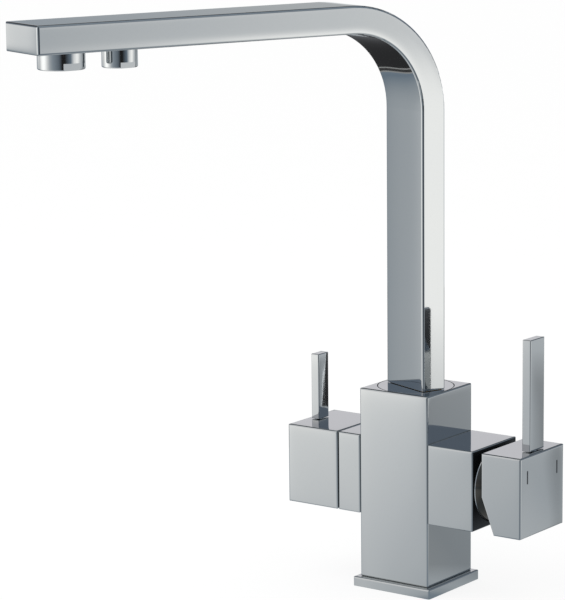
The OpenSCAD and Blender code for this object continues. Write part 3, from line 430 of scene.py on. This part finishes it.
def tool_rings(tree, place):
    """Height of the rings that a lathe's tool leaves."""
    # They are 0.2 mm apart on the real one, and are drawn at about 1.5 mm so that they show
    return add_node(tree, "ShaderNodeTexWave",
                    {"Vector": place, "Scale": 1 / (4 * MM), "Distortion": 0.4, "Detail": 1.0},
                    wave_type="BANDS", bands_direction="DIAGONAL").outputs["Fac"]


def mould_grain(tree, place):
    """Height of the fine grain that a blasted mould leaves, 0.3 mm across."""
    return add_node(tree, "ShaderNodeTexNoise", {"Vector": place, "Scale": 1 / (0.3 * MM), "Detail": 2.0})


def turned_brass(name, look):
    """Brass as it comes off the lathe: yellow metal with fine rings from the tool and a little tarnish."""
    return mottled(name, (look.brass_colour, "#a98645"), patch_mm=7, noise={"Detail": 3.0},
                   rough=(0.22, 0.4), shading={"Metallic": 1.0}, relief=(0.4, 0.01), bumps=tool_rings)


def moulded_rubber(name, look):
    """Nitrile rubber from a mould: near black, matt, with a fine grain and a bloom of grey."""
    return mottled(name, (look.rubber_colour, "#2c2d2f"), patch_mm=3, noise={"Detail": 4.0}, rough=0.62,
                   shading={"IOR": 1.52}, relief=(0.5, 0.02), bumps=mould_grain)


def moulded_acetal(name, look):
    """Acetal or nylon from a mould: milky white, satin, with slight flow marks."""
    return mottled(name, (look.acetal_colour, "#d6d2c4"), patch_mm=6,
                   noise={"Detail": 2.0, "Distortion": 1.2}, rough=(0.36, 0.5),
                   shading={"IOR": 1.48, "Subsurface Weight": 0.15, "Subsurface Scale": 1.5 * MM},
                   relief=(0.3, 0.03))


def lapped_alumina(name, look):
    """Sintered alumina, lapped flat: warm white, dense, nearly a mirror at a low angle."""
    return mottled(name, (look.ceramic_colour, "#e2dccd"), patch_mm=0.5, noise={"Detail": 3.0},
                   rough=(0.1, 0.22), shading={"IOR": 1.77})


def stainless_steel(name, look):
    """Stainless steel of small screws and wire: grey metal with a satin, slightly streaked face."""
    return mottled(name, (look.steel_colour, "#a3a6a8"), patch_mm=0.4, noise={"Detail": 3.0},
                   rough=(0.2, 0.36), shading={"Metallic": 1.0}, relief=(0.3, 0.005))


def baked_enamel(name, look):
    """Enamel paint filled into a groove and baked: dark slate, glossy, with slight runs."""
    return mottled(name, (look.mark_colour, "#1c222c"), patch_mm=1.5, noise={"Detail": 2.0}, rough=0.3,
                   shading={"IOR": 1.5}, relief=(0.3, 0.03))


def dress(names, material):
    """Gives CAD nodes a material in place of the one that they came with."""
    for name in names:
        mesh = NODES[name].data
        mesh.materials.clear()
        mesh.materials.append(material)


def surface(name, points, faces, material, body):
    """A new piece from an array of points and one array of faces for each number of corners, with its
    finish and the body it rides on."""
    corners = np.concatenate([np.full(len(part), part.shape[1]) for part in faces])
    order = np.concatenate([part.ravel() for part in faces])
    mesh = bpy.data.meshes.new(name)
    mesh.vertices.add(len(points))
    mesh.vertices.foreach_set("co", np.asarray(points, np.float32).ravel())
    mesh.loops.add(len(order))
    mesh.loops.foreach_set("vertex_index", order.astype(np.int32))
    mesh.polygons.add(len(corners))
    mesh.polygons.foreach_set("loop_start", (np.cumsum(corners) - corners).astype(np.int32))
    mesh.update(calc_edges=True)
    mesh.validate()
    mesh.shade_smooth()
    mesh.materials.append(material)
    piece = bpy.data.objects.new(name, mesh)
    bpy.context.scene.collection.objects.link(piece)
    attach(piece, body)


def ring_quads(grid):
    """Faces of the tubes whose rings of points are numbered along a grid's last two axes."""
    near, far = grid[..., :-1, :], grid[..., 1:, :]
    return np.stack([near, far, np.roll(far, -1, axis=-1), np.roll(near, -1, axis=-1)], axis=-1)


def woven_screen(name, centre, radius, wire, pitch, material):
    """Plain woven wire cloth cut to a disc. Wire k runs along a line at k pitches from the middle, and its
    height is plus or minus half a wire, as the cosine of its place along the line over the pitch, with the
    sign changing from wire to wire and between warp and weft. Each wire is a six sided tube round that line,
    and both its ends are closed to a point."""
    half_wire = wire / 2
    count = int((radius - wire) / pitch)
    offsets = np.arange(-count, count + 1) * pitch
    wires = len(offsets)
    reach = np.sqrt(radius ** 2 - offsets ** 2) - half_wire
    share = np.linspace(-1, 1, int(2 * WIRE_STEPS_PER_PITCH * radius / pitch) + 1)
    # A ring of no size closes each end
    share = np.concatenate([share[:1], share, share[-1:]])
    size = np.ones(len(share))
    size[[0, -1]] = 0
    turn = np.arange(WIRE_SIDES) / WIRE_SIDES * 2 * math.pi
    along = reach[:, None] * share[None, :]
    sign = np.where(np.arange(wires) % 2 == 0, 1.0, -1.0)[:, None]
    points = []
    for weave in (0, 1):
        height = (1 - 2 * weave) * sign * half_wire * np.cos(math.pi * along / pitch)
        side = offsets[:, None, None] + half_wire * size[None, :, None] * np.cos(turn)[None, None, :]
        up = height[:, :, None] + half_wire * size[None, :, None] * np.sin(turn)[None, None, :]
        on = np.broadcast_to(along[:, :, None], up.shape)
        pair = (on, side) if weave == 0 else (side, on)
        points.append(np.stack([pair[0], pair[1], up], axis=-1).reshape(-1, 3))
    quads = ring_quads(np.arange(2 * wires * len(share) * WIRE_SIDES).reshape(2 * wires, -1, WIRE_SIDES))
    # The two sets of wires run crosswise, so that the first one's faces would point inwards
    quads[:wires] = quads[:wires, ..., ::-1]
    surface(name, np.concatenate(points) + centre, [quads.reshape(-1, 4)], material, "spout")


def inside_thread(name, centre, bore, bottom, length, pitch, height, material):
    """The crest of an inside screw thread: a triangular ridge carried round a helix on the bore's wall. The
    ridge's height rises from nothing to full over the first turn and falls again over the last."""
    turns = length / pitch
    steps = int(turns * THREAD_STEPS)
    turn = np.linspace(0, turns, steps + 1)
    angle = (turn * 2 * math.pi)[:, None]
    rise = np.clip(np.minimum(turn, turns - turn), 0, 1)
    flat = np.zeros(steps + 1)
    half_foot = THREAD_FOOT * pitch * np.maximum(rise, 0.02)
    radius = bore + THREAD_SUNK - np.stack([flat, height * rise, flat], axis=1)
    climb = (turn * pitch * (length - pitch) / length)[:, None]
    up = bottom + 0.5 * pitch + climb + np.stack([-half_foot, flat, half_foot], axis=1)
    points = np.stack([centre[0] + radius * np.cos(angle), centre[1] + radius * np.sin(angle), up],
                      axis=-1).reshape(-1, 3)
    grid = np.arange(len(points)).reshape(-1, 3)
    # A point in the middle of each end closes it with three triangles
    first, last = grid[0], grid[-1]
    middles = [len(points), len(points) + 1]
    ends = np.stack([np.stack([first, np.roll(first, -1), np.full(3, middles[0])], axis=1),
                     np.stack([np.roll(last, -1), last, np.full(3, middles[1])], axis=1)], axis=1)
    points = np.concatenate([points, points[[first, last]].mean(axis=1)])
    surface(name, points, [ring_quads(grid).reshape(-1, 4), ends.reshape(-1, 3)], material,
            "tap_body")


class TapFinish(bpy.types.PropertyGroup):
    """Colours and gloss of the tap's finishes"""
    chrome_colour: bpy.props.FloatVectorProperty(
        name="Chrome", description="Colour of the chromium plating", subtype="COLOR", size=3,
        default=linear("#c6c8c8")[:3], min=0, max=1)
    chrome_roughness: bpy.props.FloatProperty(
        name="Chrome haze", description="Roughness of the buffed plating", default=0.04, min=0, max=0.5,
        subtype="FACTOR")
    crown_slope: bpy.props.FloatProperty(
        name="Crown", description="Slope that buffing gives the flats at their edges, as a rise over a run",
        default=0.05, min=0, max=0.3, subtype="FACTOR")
    brass_colour: bpy.props.FloatVectorProperty(
        name="Brass", description="Colour of the turned brass", subtype="COLOR", size=3,
        default=linear("#cfae66")[:3], min=0, max=1)
    rubber_colour: bpy.props.FloatVectorProperty(
        name="Rubber", description="Colour of the seals", subtype="COLOR", size=3,
        default=linear("#1b1b1c")[:3], min=0, max=1)
    acetal_colour: bpy.props.FloatVectorProperty(
        name="Acetal", description="Colour of the moulded bushes, inserts and cartridge", subtype="COLOR",
        size=3, default=linear("#e9e6dc")[:3], min=0, max=1)
    ceramic_colour: bpy.props.FloatVectorProperty(
        name="Ceramic", description="Colour of the valve discs", subtype="COLOR", size=3,
        default=linear("#f3efe4")[:3], min=0, max=1)
    steel_colour: bpy.props.FloatVectorProperty(
        name="Steel", description="Colour of the screws and of the outlet screens", subtype="COLOR", size=3,
        default=linear("#bfc2c4")[:3], min=0, max=1)
    mark_colour: bpy.props.FloatVectorProperty(
        name="Marks", description="Colour of the two temperature marks", subtype="COLOR", size=3,
        default=linear("#12161d")[:3], min=0, max=1)


class TapSizes(bpy.types.PropertyGroup):
    """Sizes of the pieces that are added to the CAD model, and of the lamp"""
    wire: bpy.props.FloatProperty(
        name="Screen wire", description="Diameter of the wire of the outlet screens", default=0.22 * MM,
        min=0.05 * MM, max=0.5 * MM, subtype="DISTANCE", unit="LENGTH", precision=5)
    wire_pitch: bpy.props.FloatProperty(
        name="Screen pitch", description="Distance between the wires of the outlet screens",
        default=0.9 * MM, min=0.4 * MM, max=3 * MM, subtype="DISTANCE", unit="LENGTH", precision=5)
    thread_height: bpy.props.FloatProperty(
        name="Thread height", description="How far the crest of an inside thread stands out of its bore",
        default=0.35 * MM, min=0.1 * MM, max=0.8 * MM, subtype="DISTANCE", unit="LENGTH", precision=5)
    lamp_size: bpy.props.FloatProperty(
        name="Lamp size", description="Side of the square lamp above the tap", default=1.2, min=0.2, max=4,
        subtype="DISTANCE", unit="LENGTH")
    lamp_power: bpy.props.FloatProperty(
        name="Lamp power", description="Power of the lamp above the tap", default=9.0, min=0, max=100,
        subtype="POWER", unit="POWER")


class TAP_OT_castings(bpy.types.Operator):
    """Plates the column, its arms and the base plate, with their flats crowned by buffing, and paints shade
    dark into the arms' open ends
    """
    bl_idname = "tap.castings"
    bl_label = "Plate the castings"

    def execute(self, context):
        look = context.scene.tap_finish
        for node in SQUARE_CASTINGS:
            crown = partial(block_crown, node=node, look=look, rounds=BLOCK_ROUNDS)
            # The arms' open ends get painted shade, dark and matt, inside a thin rim of plain plating
            painted_shade = partial(inside_share, node=node, wall=BRIGHT_RIM, capped=False) if node in ARMS else None
            dress((node,), chrome_plate("chrome on cast brass of the " + node, look, CAST_WAVES, crown,
                                        painted_shade))
        return {"FINISHED"}


class TAP_OT_turned(bpy.types.Operator):
    """Plates the round pieces: the swivel disc, the domed cap, both aerator housings and the screw plugs"""
    bl_idname = "tap.turned"
    bl_label = "Plate the round pieces"

    def execute(self, context):
        look = context.scene.tap_finish
        # A thin dark line of painted shade runs round the swivel disc's rim, along its seam
        seam_shade = partial(rim_share, node="swivel_disc", axis=2, width=SEAM_RIM)
        # The domed cap gets painted shade, and a painted highlight on its rim
        dress(("dome_cap",), shaded_dome_chrome("dome chrome with painted shade", look))
        dress(ROUND_CASTINGS, chrome_plate("chrome on turned brass", look, TURNED_WAVES))
        dress(("swivel_disc",), chrome_plate("chrome on the swivel disc with painted seam shade", look, TURNED_WAVES, painted_shade=seam_shade))
        return {"FINISHED"}


class TAP_OT_handles(bpy.types.Operator):
    """Plates both handles and their levers. The hollow insides of the handles get painted shade, dark and
    matt
    """
    bl_idname = "tap.handles"
    bl_label = "Plate the handles"

    def execute(self, context):
        look = context.scene.tap_finish
        for node in HANDLES:
            crown = partial(block_crown, node=node, look=look, rounds=BLOCK_ROUNDS)
            # The handles' hollow insides get painted shade within their plated walls
            painted_shade = partial(inside_share, node=node, wall=WALL, capped=True)
            dress((node,), chrome_plate("chrome on die cast zinc of the " + node, look, HANDLE_WAVES, crown,
                                        painted_shade))
        for node in LEVERS:
            crown = partial(block_crown, node=node, look=look, rounds=BAR_ROUNDS)
            dress((node,), chrome_plate("chrome on drawn bar of the " + node, look, LEVER_WAVES, crown))
        return {"FINISHED"}


class TAP_OT_spout(bpy.types.Operator):
    """Plates the spout tube and its end cap"""
    bl_idname = "tap.spout"
    bl_label = "Plate the spout"

    def execute(self, context):
        look = context.scene.tap_finish
        dress(SPOUT_PARTS, chrome_plate("chrome on drawn brass tube", look, SPOUT_WAVES,
                                        partial(spout_crown, look=look)))
        return {"FINISHED"}


class TAP_OT_brass(bpy.types.Operator):
    """Finishes the turned brass pieces inside"""
    bl_idname = "tap.brass"
    bl_label = "Finish the brass pieces"

    def execute(self, context):
        dress(BRASS_PARTS, turned_brass("turned brass", context.scene.tap_finish))
        return {"FINISHED"}


class TAP_OT_seals(bpy.types.Operator):
    """Finishes the rubber seals, washers and the base gasket"""
    bl_idname = "tap.seals"
    bl_label = "Finish the seals"

    def execute(self, context):
        dress(SEALS, moulded_rubber("nitrile rubber", context.scene.tap_finish))
        return {"FINISHED"}


class TAP_OT_mouldings(bpy.types.Operator):
    """Finishes the white mouldings: bushes, inner tube, inserts and the cartridge"""
    bl_idname = "tap.mouldings"
    bl_label = "Finish the mouldings"

    def execute(self, context):
        dress(MOULDINGS, moulded_acetal("moulded acetal", context.scene.tap_finish))
        return {"FINISHED"}


class TAP_OT_ceramic_discs(bpy.types.Operator):
    """Finishes the four ceramic discs"""
    bl_idname = "tap.ceramic_discs"
    bl_label = "Finish the ceramic discs"

    def execute(self, context):
        dress(CERAMIC_DISCS, lapped_alumina("lapped alumina", context.scene.tap_finish))
        return {"FINISHED"}


class TAP_OT_screws(bpy.types.Operator):
    """Finishes the steel screws and the stem pin"""
    bl_idname = "tap.screws"
    bl_label = "Finish the screws"

    def execute(self, context):
        dress(SCREWS, stainless_steel("stainless steel", context.scene.tap_finish))
        return {"FINISHED"}


class TAP_OT_marks(bpy.types.Operator):
    """Finishes the two temperature marks"""
    bl_idname = "tap.marks"
    bl_label = "Finish the marks"

    def execute(self, context):
        dress(("temperature_marks",), baked_enamel("baked enamel", context.scene.tap_finish))
        return {"FINISHED"}


class TAP_OT_screens(bpy.types.Operator):
    """Adds the woven wire screens just inside both outlets"""
    bl_idname = "tap.screens"
    bl_label = "Add the outlet screens"

    def execute(self, context):
        sizes = context.scene.tap_sizes
        material = stainless_steel("stainless steel wire", context.scene.tap_finish)
        for name, housing, radius in SCREENS:
            low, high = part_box(housing)
            centre = np.array([(low.x + high.x) / 2, (low.y + high.y) / 2, low.z + SCREEN_RECESS])
            woven_screen(name, centre, radius, sizes.wire, sizes.wire_pitch, material)
        return {"FINISHED"}


class TAP_OT_threads(bpy.types.Operator):
    """Adds the threads of the three hose inlets and of the stud hole in the foot"""
    bl_idname = "tap.threads"
    bl_label = "Add the threads"

    def execute(self, context):
        sizes = context.scene.tap_sizes
        material = turned_brass("brass thread", context.scene.tap_finish)
        for mount in frame["record"]["mounts"]:
            if mount["kind"] != "threaded_hole":
                continue
            radius = mount["dims"]["r_mm"] * MM
            length = mount["dims"]["length_mm"] * MM
            x, y, z = mount["pos_m"]
            pitch = STUD_PITCH if mount["name"] == "fixing_stud_hole" else HOSE_PITCH
            inside_thread(mount["name"] + "_thread", (x, y), radius, z - length / 2, length, pitch,
                          sizes.thread_height, material)
        return {"FINISHED"}


def fill_ramp(ramp, rows):
    """Gives a new colour ramp its rows, each a position from 0 to 1 and a colour."""
    for _ in rows[2:]:
        ramp.elements.new(0.5)
    for element, (position, colour) in zip(ramp.elements, rows):
        element.position = position
        element.color = colour


def studio_glow(tree, turn, rows, blush=NO_BLUSH):
    """Colour ramp of what stands round the tap, against the turn round it from 0 to 1. It holds shares of
    BRIGHTEST, and straight lines join its rows."""
    node = add_node(tree, "ShaderNodeValToRGB", {"Fac": turn})
    colours = []
    for azimuth, level in rows:
        tint = (np.interp(level, TINT_LEVELS, TINT_RED), 1.0, np.interp(level, TINT_LEVELS, TINT_BLUE))
        colour = [level / BRIGHTEST * t * b for t, b in zip(tint, blush)]
        colours.append((azimuth / 360 + 0.5, (*colour, 1.0)))
    fill_ramp(node.color_ramp, colours)
    return node


def turn_round(tree, place):
    """The turn of a place or direction round the tap from 0 to 1, its distance in plan, and its height."""
    part = add_node(tree, "ShaderNodeSeparateXYZ", {"Vector": place})
    angle = add_node(tree, "ShaderNodeMath", {0: part.outputs["Y"], 1: part.outputs["X"]},
                     operation="ARCTAN2")
    turn = add_node(tree, "ShaderNodeMapRange", {"Value": angle, "From Min": -math.pi, "From Max": math.pi})
    flat = add_node(tree, "ShaderNodeVectorMath", {0: place, 1: (1.0, 1.0, 0.0)}, operation="MULTIPLY")
    away = add_node(tree, "ShaderNodeVectorMath", {0: flat}, operation="LENGTH")
    return turn, away, part.outputs["Z"]


def cross_fade(tree, value, low, high, first, second, smooth="SMOOTHSTEP"):
    """The first colour where value is under low, the second where it is over high."""
    share = add_node(tree, "ShaderNodeMapRange", {"Value": value, "From Min": low, "From Max": high},
                     interpolation_type=smooth)
    return add_node(tree, "ShaderNodeMix", {"Factor": share, "A": first, "B": second}, data_type="RGBA")


def mirror_rays(tree):
    """1 for rays that a mirror or a clear piece sends out, else 0."""
    path = add_node(tree, "ShaderNodeLightPath").outputs
    return add_node(tree, "ShaderNodeMath", {0: path["Is Glossy Ray"], 1: path["Is Transmission Ray"]},
                    operation="MAXIMUM")


def across_line(tree, place, azimuth, beside=0.0):
    """Distance of a place from a line, which grows to the line's left. The line runs at an azimuth and
    passes the tap's middle at a distance beside it."""
    left = (-math.sin(azimuth), math.cos(azimuth), 0.0)
    across = add_node(tree, "ShaderNodeVectorMath", {0: place, 1: left}, operation="DOT_PRODUCT")
    return add_node(tree, "ShaderNodeMath", {0: across, 1: beside}, operation="SUBTRACT")


def own_shadow(tree, place, glow):
    """The table's glow, dimmed in the strip that the column shades. It starts a little behind the foot."""
    across = across_line(tree, place, SHADOW_AZIMUTH)
    behind = across_line(tree, place, SHADOW_AZIMUTH - math.pi / 2)
    light = add_node(tree, "ShaderNodeMapRange",
                     {"Value": across, "From Min": SHADOW_RIGHT[1], "From Max": SHADOW_LEFT,
                      "To Min": SHADOW_LIGHT[0], "To Max": SHADOW_LIGHT[1]})
    inside = past_all(tree, [(across, *SHADOW_RIGHT), (behind, *SHADOW_START), (behind, *SHADOW_END[::-1])])
    shade = add_node(tree, "ShaderNodeMix", {"Factor": inside, "A": 1.0, "B": light}, data_type="FLOAT")
    return add_node(tree, "ShaderNodeVectorMath", {0: glow, "Scale": shade}, operation="SCALE")


def black_cloth(tree, place, away, glow):
    """The table's glow, and over it a strip of black cloth between two distances, with two pale hems at the
    back and a pale edge at the side. It is a little paler far away."""
    side = across_line(tree, place, SHADOW_AZIMUTH, CLOTH_SIDE)
    back = across_line(tree, place, CLOTH_AZIMUTH, CLOTH_BACK)
    corner = add_node(tree, "ShaderNodeMath", {0: side, 1: back}, operation="MINIMUM")
    middle = add_node(tree, "ShaderNodeMath", {0: away, 1: sum(CLOTH_SPAN) / 2}, operation="SUBTRACT")
    off = add_node(tree, "ShaderNodeMath", {0: middle}, operation="ABSOLUTE")
    span = add_node(tree, "ShaderNodeMath", {0: (CLOTH_SPAN[1] - CLOTH_SPAN[0]) / 2, 1: off},
                    operation="SUBTRACT")
    inwards = add_node(tree, "ShaderNodeMath", {0: corner, 1: span}, operation="MINIMUM")
    black = cross_fade(tree, away, *CLOTH_PALING, linear("#242425"), linear("#444547"))
    hems = add_node(tree, "ShaderNodeValToRGB", {"Fac": past_all(tree, [(back, 0.0, CLOTH_HEMS)])})
    hems.color_ramp.interpolation = "CONSTANT"
    fill_ramp(hems.color_ramp, [(share, (level, level, level, 1.0)) for share, level in HEM_ROWS])
    cloth = cross_fade(tree, back, CLOTH_FADE * CLOTH_HEMS, CLOTH_HEMS, hems, black)
    edged = cross_fade(tree, side, CLOTH_FADE * CLOTH_EDGE, CLOTH_EDGE, linear("#d8dcde"), cloth)
    return cross_fade(tree, inwards, 0.0, (1 - CLOTH_FADE) * CLOTH_EDGE, glow, edged)


def studio_floor():
    """Pale table top: white and softly shaded to the eye, while the plating mirrors the studio on it."""
    material, tree, place = new_material("pale table top")
    turn, away, _ = turn_round(tree, place)
    shade_and_open_floor = cross_fade(tree, away, 0.0, TABLE_MIDDLE, studio_glow(tree, turn, FOOT),
                      studio_glow(tree, turn, TABLE), "LINEAR")
    near = black_cloth(tree, place, away, own_shadow(tree, place, shade_and_open_floor))
    glow = cross_fade(tree, away, *TABLE_FAR, near, studio_glow(tree, turn, HORIZON))
    grain = add_node(tree, "ShaderNodeTexNoise", {"Vector": place, "Scale": 1 / (40 * MM), "Detail": 3.0})
    paint = add_node(tree, "ShaderNodeMix",
                     {"Factor": grain, "A": linear("#fbfbfb"), "B": linear("#f6f6f6")}, data_type="RGBA")
    matt = add_node(tree, "ShaderNodeBsdfDiffuse", {"Color": paint})
    white = add_node(tree, "ShaderNodeEmission", {"Color": linear("#ffffff"), "Strength": 1.0})
    seen = add_node(tree, "ShaderNodeMixShader", {0: FLOOR_GLOW, 1: matt, 2: white})
    cards = add_node(tree, "ShaderNodeEmission", {"Color": glow, "Strength": BRIGHTEST})
    both = add_node(tree, "ShaderNodeMixShader", {0: mirror_rays(tree), 1: seen, 2: cards})
    points = [(math.cos(a) * FLOOR_RADIUS, math.sin(a) * FLOOR_RADIUS, 0.0)
              for a in np.linspace(0, 2 * math.pi, FLOOR_CORNERS, endpoint=False)]
    mesh = bpy.data.meshes.new("table_top")
    mesh.from_pydata(points, [], [tuple(range(FLOOR_CORNERS))])
    mesh.materials.append(finished(material, both))
    floor = bpy.data.objects.new("table_top", mesh)
    bpy.context.scene.collection.objects.link(floor)


def studio_world():
    """White room: plain light on the tap, white to the eye, and the studio's cards in the plating."""
    world = bpy.data.worlds.new("studio")
    world.use_nodes = True
    tree = world.node_tree
    tree.nodes.clear()
    turn, _, height = turn_round(tree, add_node(tree, "ShaderNodeTexCoord").outputs["Generated"])
    low = cross_fade(tree, height, *ABOVE_TABLE, studio_glow(tree, turn, HORIZON),
                     studio_glow(tree, turn, SKIRTING, SKIRTING_BLUSH))
    walls = cross_fade(tree, height, *UP_TO_WALLS, low, studio_glow(tree, turn, WALLS, WALLS_BLUSH))
    high = cross_fade(tree, height, *UP_TO_HIGH, walls, studio_glow(tree, turn, HIGH))
    room = cross_fade(tree, height, *UP_TO_CEILING, high, (CEILING / BRIGHTEST,) * 3 + (1.0,))
    cards = add_node(tree, "ShaderNodeBackground", {"Color": room, "Strength": BRIGHTEST})
    white = add_node(tree, "ShaderNodeBackground", {"Color": linear("#ffffff"), "Strength": 1.0})
    both = add_node(tree, "ShaderNodeMixShader", {0: mirror_rays(tree), 1: white, 2: cards})
    add_node(tree, "ShaderNodeOutputWorld", {"Surface": both})
    bpy.context.scene.world = world


def studio_lamp(sizes):
    """A square soft lamp above and in front. The plating mirrors the studio's cards in its place."""
    light = bpy.data.lights.new("soft_lamp", "AREA")
    light.shape = "SQUARE"
    light.size = sizes.lamp_size
    light.energy = sizes.lamp_power
    lamp = bpy.data.objects.new("soft_lamp", light)
    lamp.location = LAMP_PLACE
    lamp.rotation_euler = LAMP_TURNS
    lamp.visible_glossy = False
    bpy.context.scene.collection.objects.link(lamp)


def photo_camera():
    """The photograph's camera: a long lens, its aim, distance, turn, height and roll as worked out."""
    a, e, r = CAMERA_AZIMUTH, CAMERA_ELEVATION, CAMERA_ROLL
    back = np.array([math.sin(a) * math.cos(e), -math.cos(a) * math.cos(e), math.sin(e)])
    right = np.array([math.cos(a), math.sin(a), 0.0])
    up = np.cross(right, -back)
    data = bpy.data.cameras.new("photo_camera")
    data.sensor_width = SENSOR_MM
    data.lens = SENSOR_MM * FOCAL_PX / max(PHOTO_WIDTH_PX, PHOTO_HEIGHT_PX)
    data.clip_start, data.clip_end = CAMERA_CLIP
    camera = bpy.data.objects.new("photo_camera", data)
    matrix = np.eye(4)
    matrix[:3, 0] = right * math.cos(r) + up * math.sin(r)
    matrix[:3, 1] = up * math.cos(r) - right * math.sin(r)
    matrix[:3, 2] = back
    matrix[:3, 3] = CAMERA_AIM + back * CAMERA_DISTANCE
    bpy.context.scene.collection.objects.link(camera)
    camera.matrix_world = Matrix(matrix.tolist())
    bpy.context.scene.camera = camera


class TAP_OT_stage(bpy.types.Operator):
    """Sets up the table top, the white room with its cards, the lamp and the photograph's camera"""
    bl_idname = "tap.stage"
    bl_label = "Set up the studio"

    def execute(self, context):
        studio_floor()
        studio_world()
        studio_lamp(context.scene.tap_sizes)
        photo_camera()
        context.scene.view_settings.view_transform = "Standard"
        return {"FINISHED"}


OPERATORS = (TAP_OT_castings, TAP_OT_turned, TAP_OT_handles, TAP_OT_spout, TAP_OT_brass, TAP_OT_seals,
             TAP_OT_mouldings, TAP_OT_ceramic_discs, TAP_OT_screws, TAP_OT_marks, TAP_OT_screens,
             TAP_OT_threads, TAP_OT_stage)


class TAP_PT_panel(bpy.types.Panel):
    """Lists the steps that dress the tap"""
    bl_idname = "TAP_PT_panel"
    bl_label = "Tap"
    bl_space_type = "VIEW_3D"
    bl_region_type = "UI"
    bl_category = "Tap"

    def draw(self, context):
        layout = self.layout
        for group in (context.scene.tap_finish, context.scene.tap_sizes):
            for name in group.bl_rna.properties.keys():
                if name not in ("rna_type", "name"):
                    layout.prop(group, name)
        for operator in OPERATORS:
            layout.operator(operator.bl_idname)


CLASSES = (TapFinish, TapSizes, *OPERATORS, TAP_PT_panel)


def register():
    """Makes the classes known to Blender, and gives the scene its two groups of properties."""
    for cls in CLASSES:
        bpy.utils.register_class(cls)
    bpy.types.Scene.tap_finish = bpy.props.PointerProperty(type=TapFinish)
    bpy.types.Scene.tap_sizes = bpy.props.PointerProperty(type=TapSizes)


def unregister():
    """Takes back what register did, in the opposite order."""
    del bpy.types.Scene.tap_sizes
    del bpy.types.Scene.tap_finish
    for cls in reversed(CLASSES):
        bpy.utils.unregister_class(cls)


def main():
    register()
    for operator in OPERATORS:
        group, name = operator.bl_idname.split(".")
        getattr(getattr(bpy.ops, group), name)()


if __name__ == "__main__":
    main()
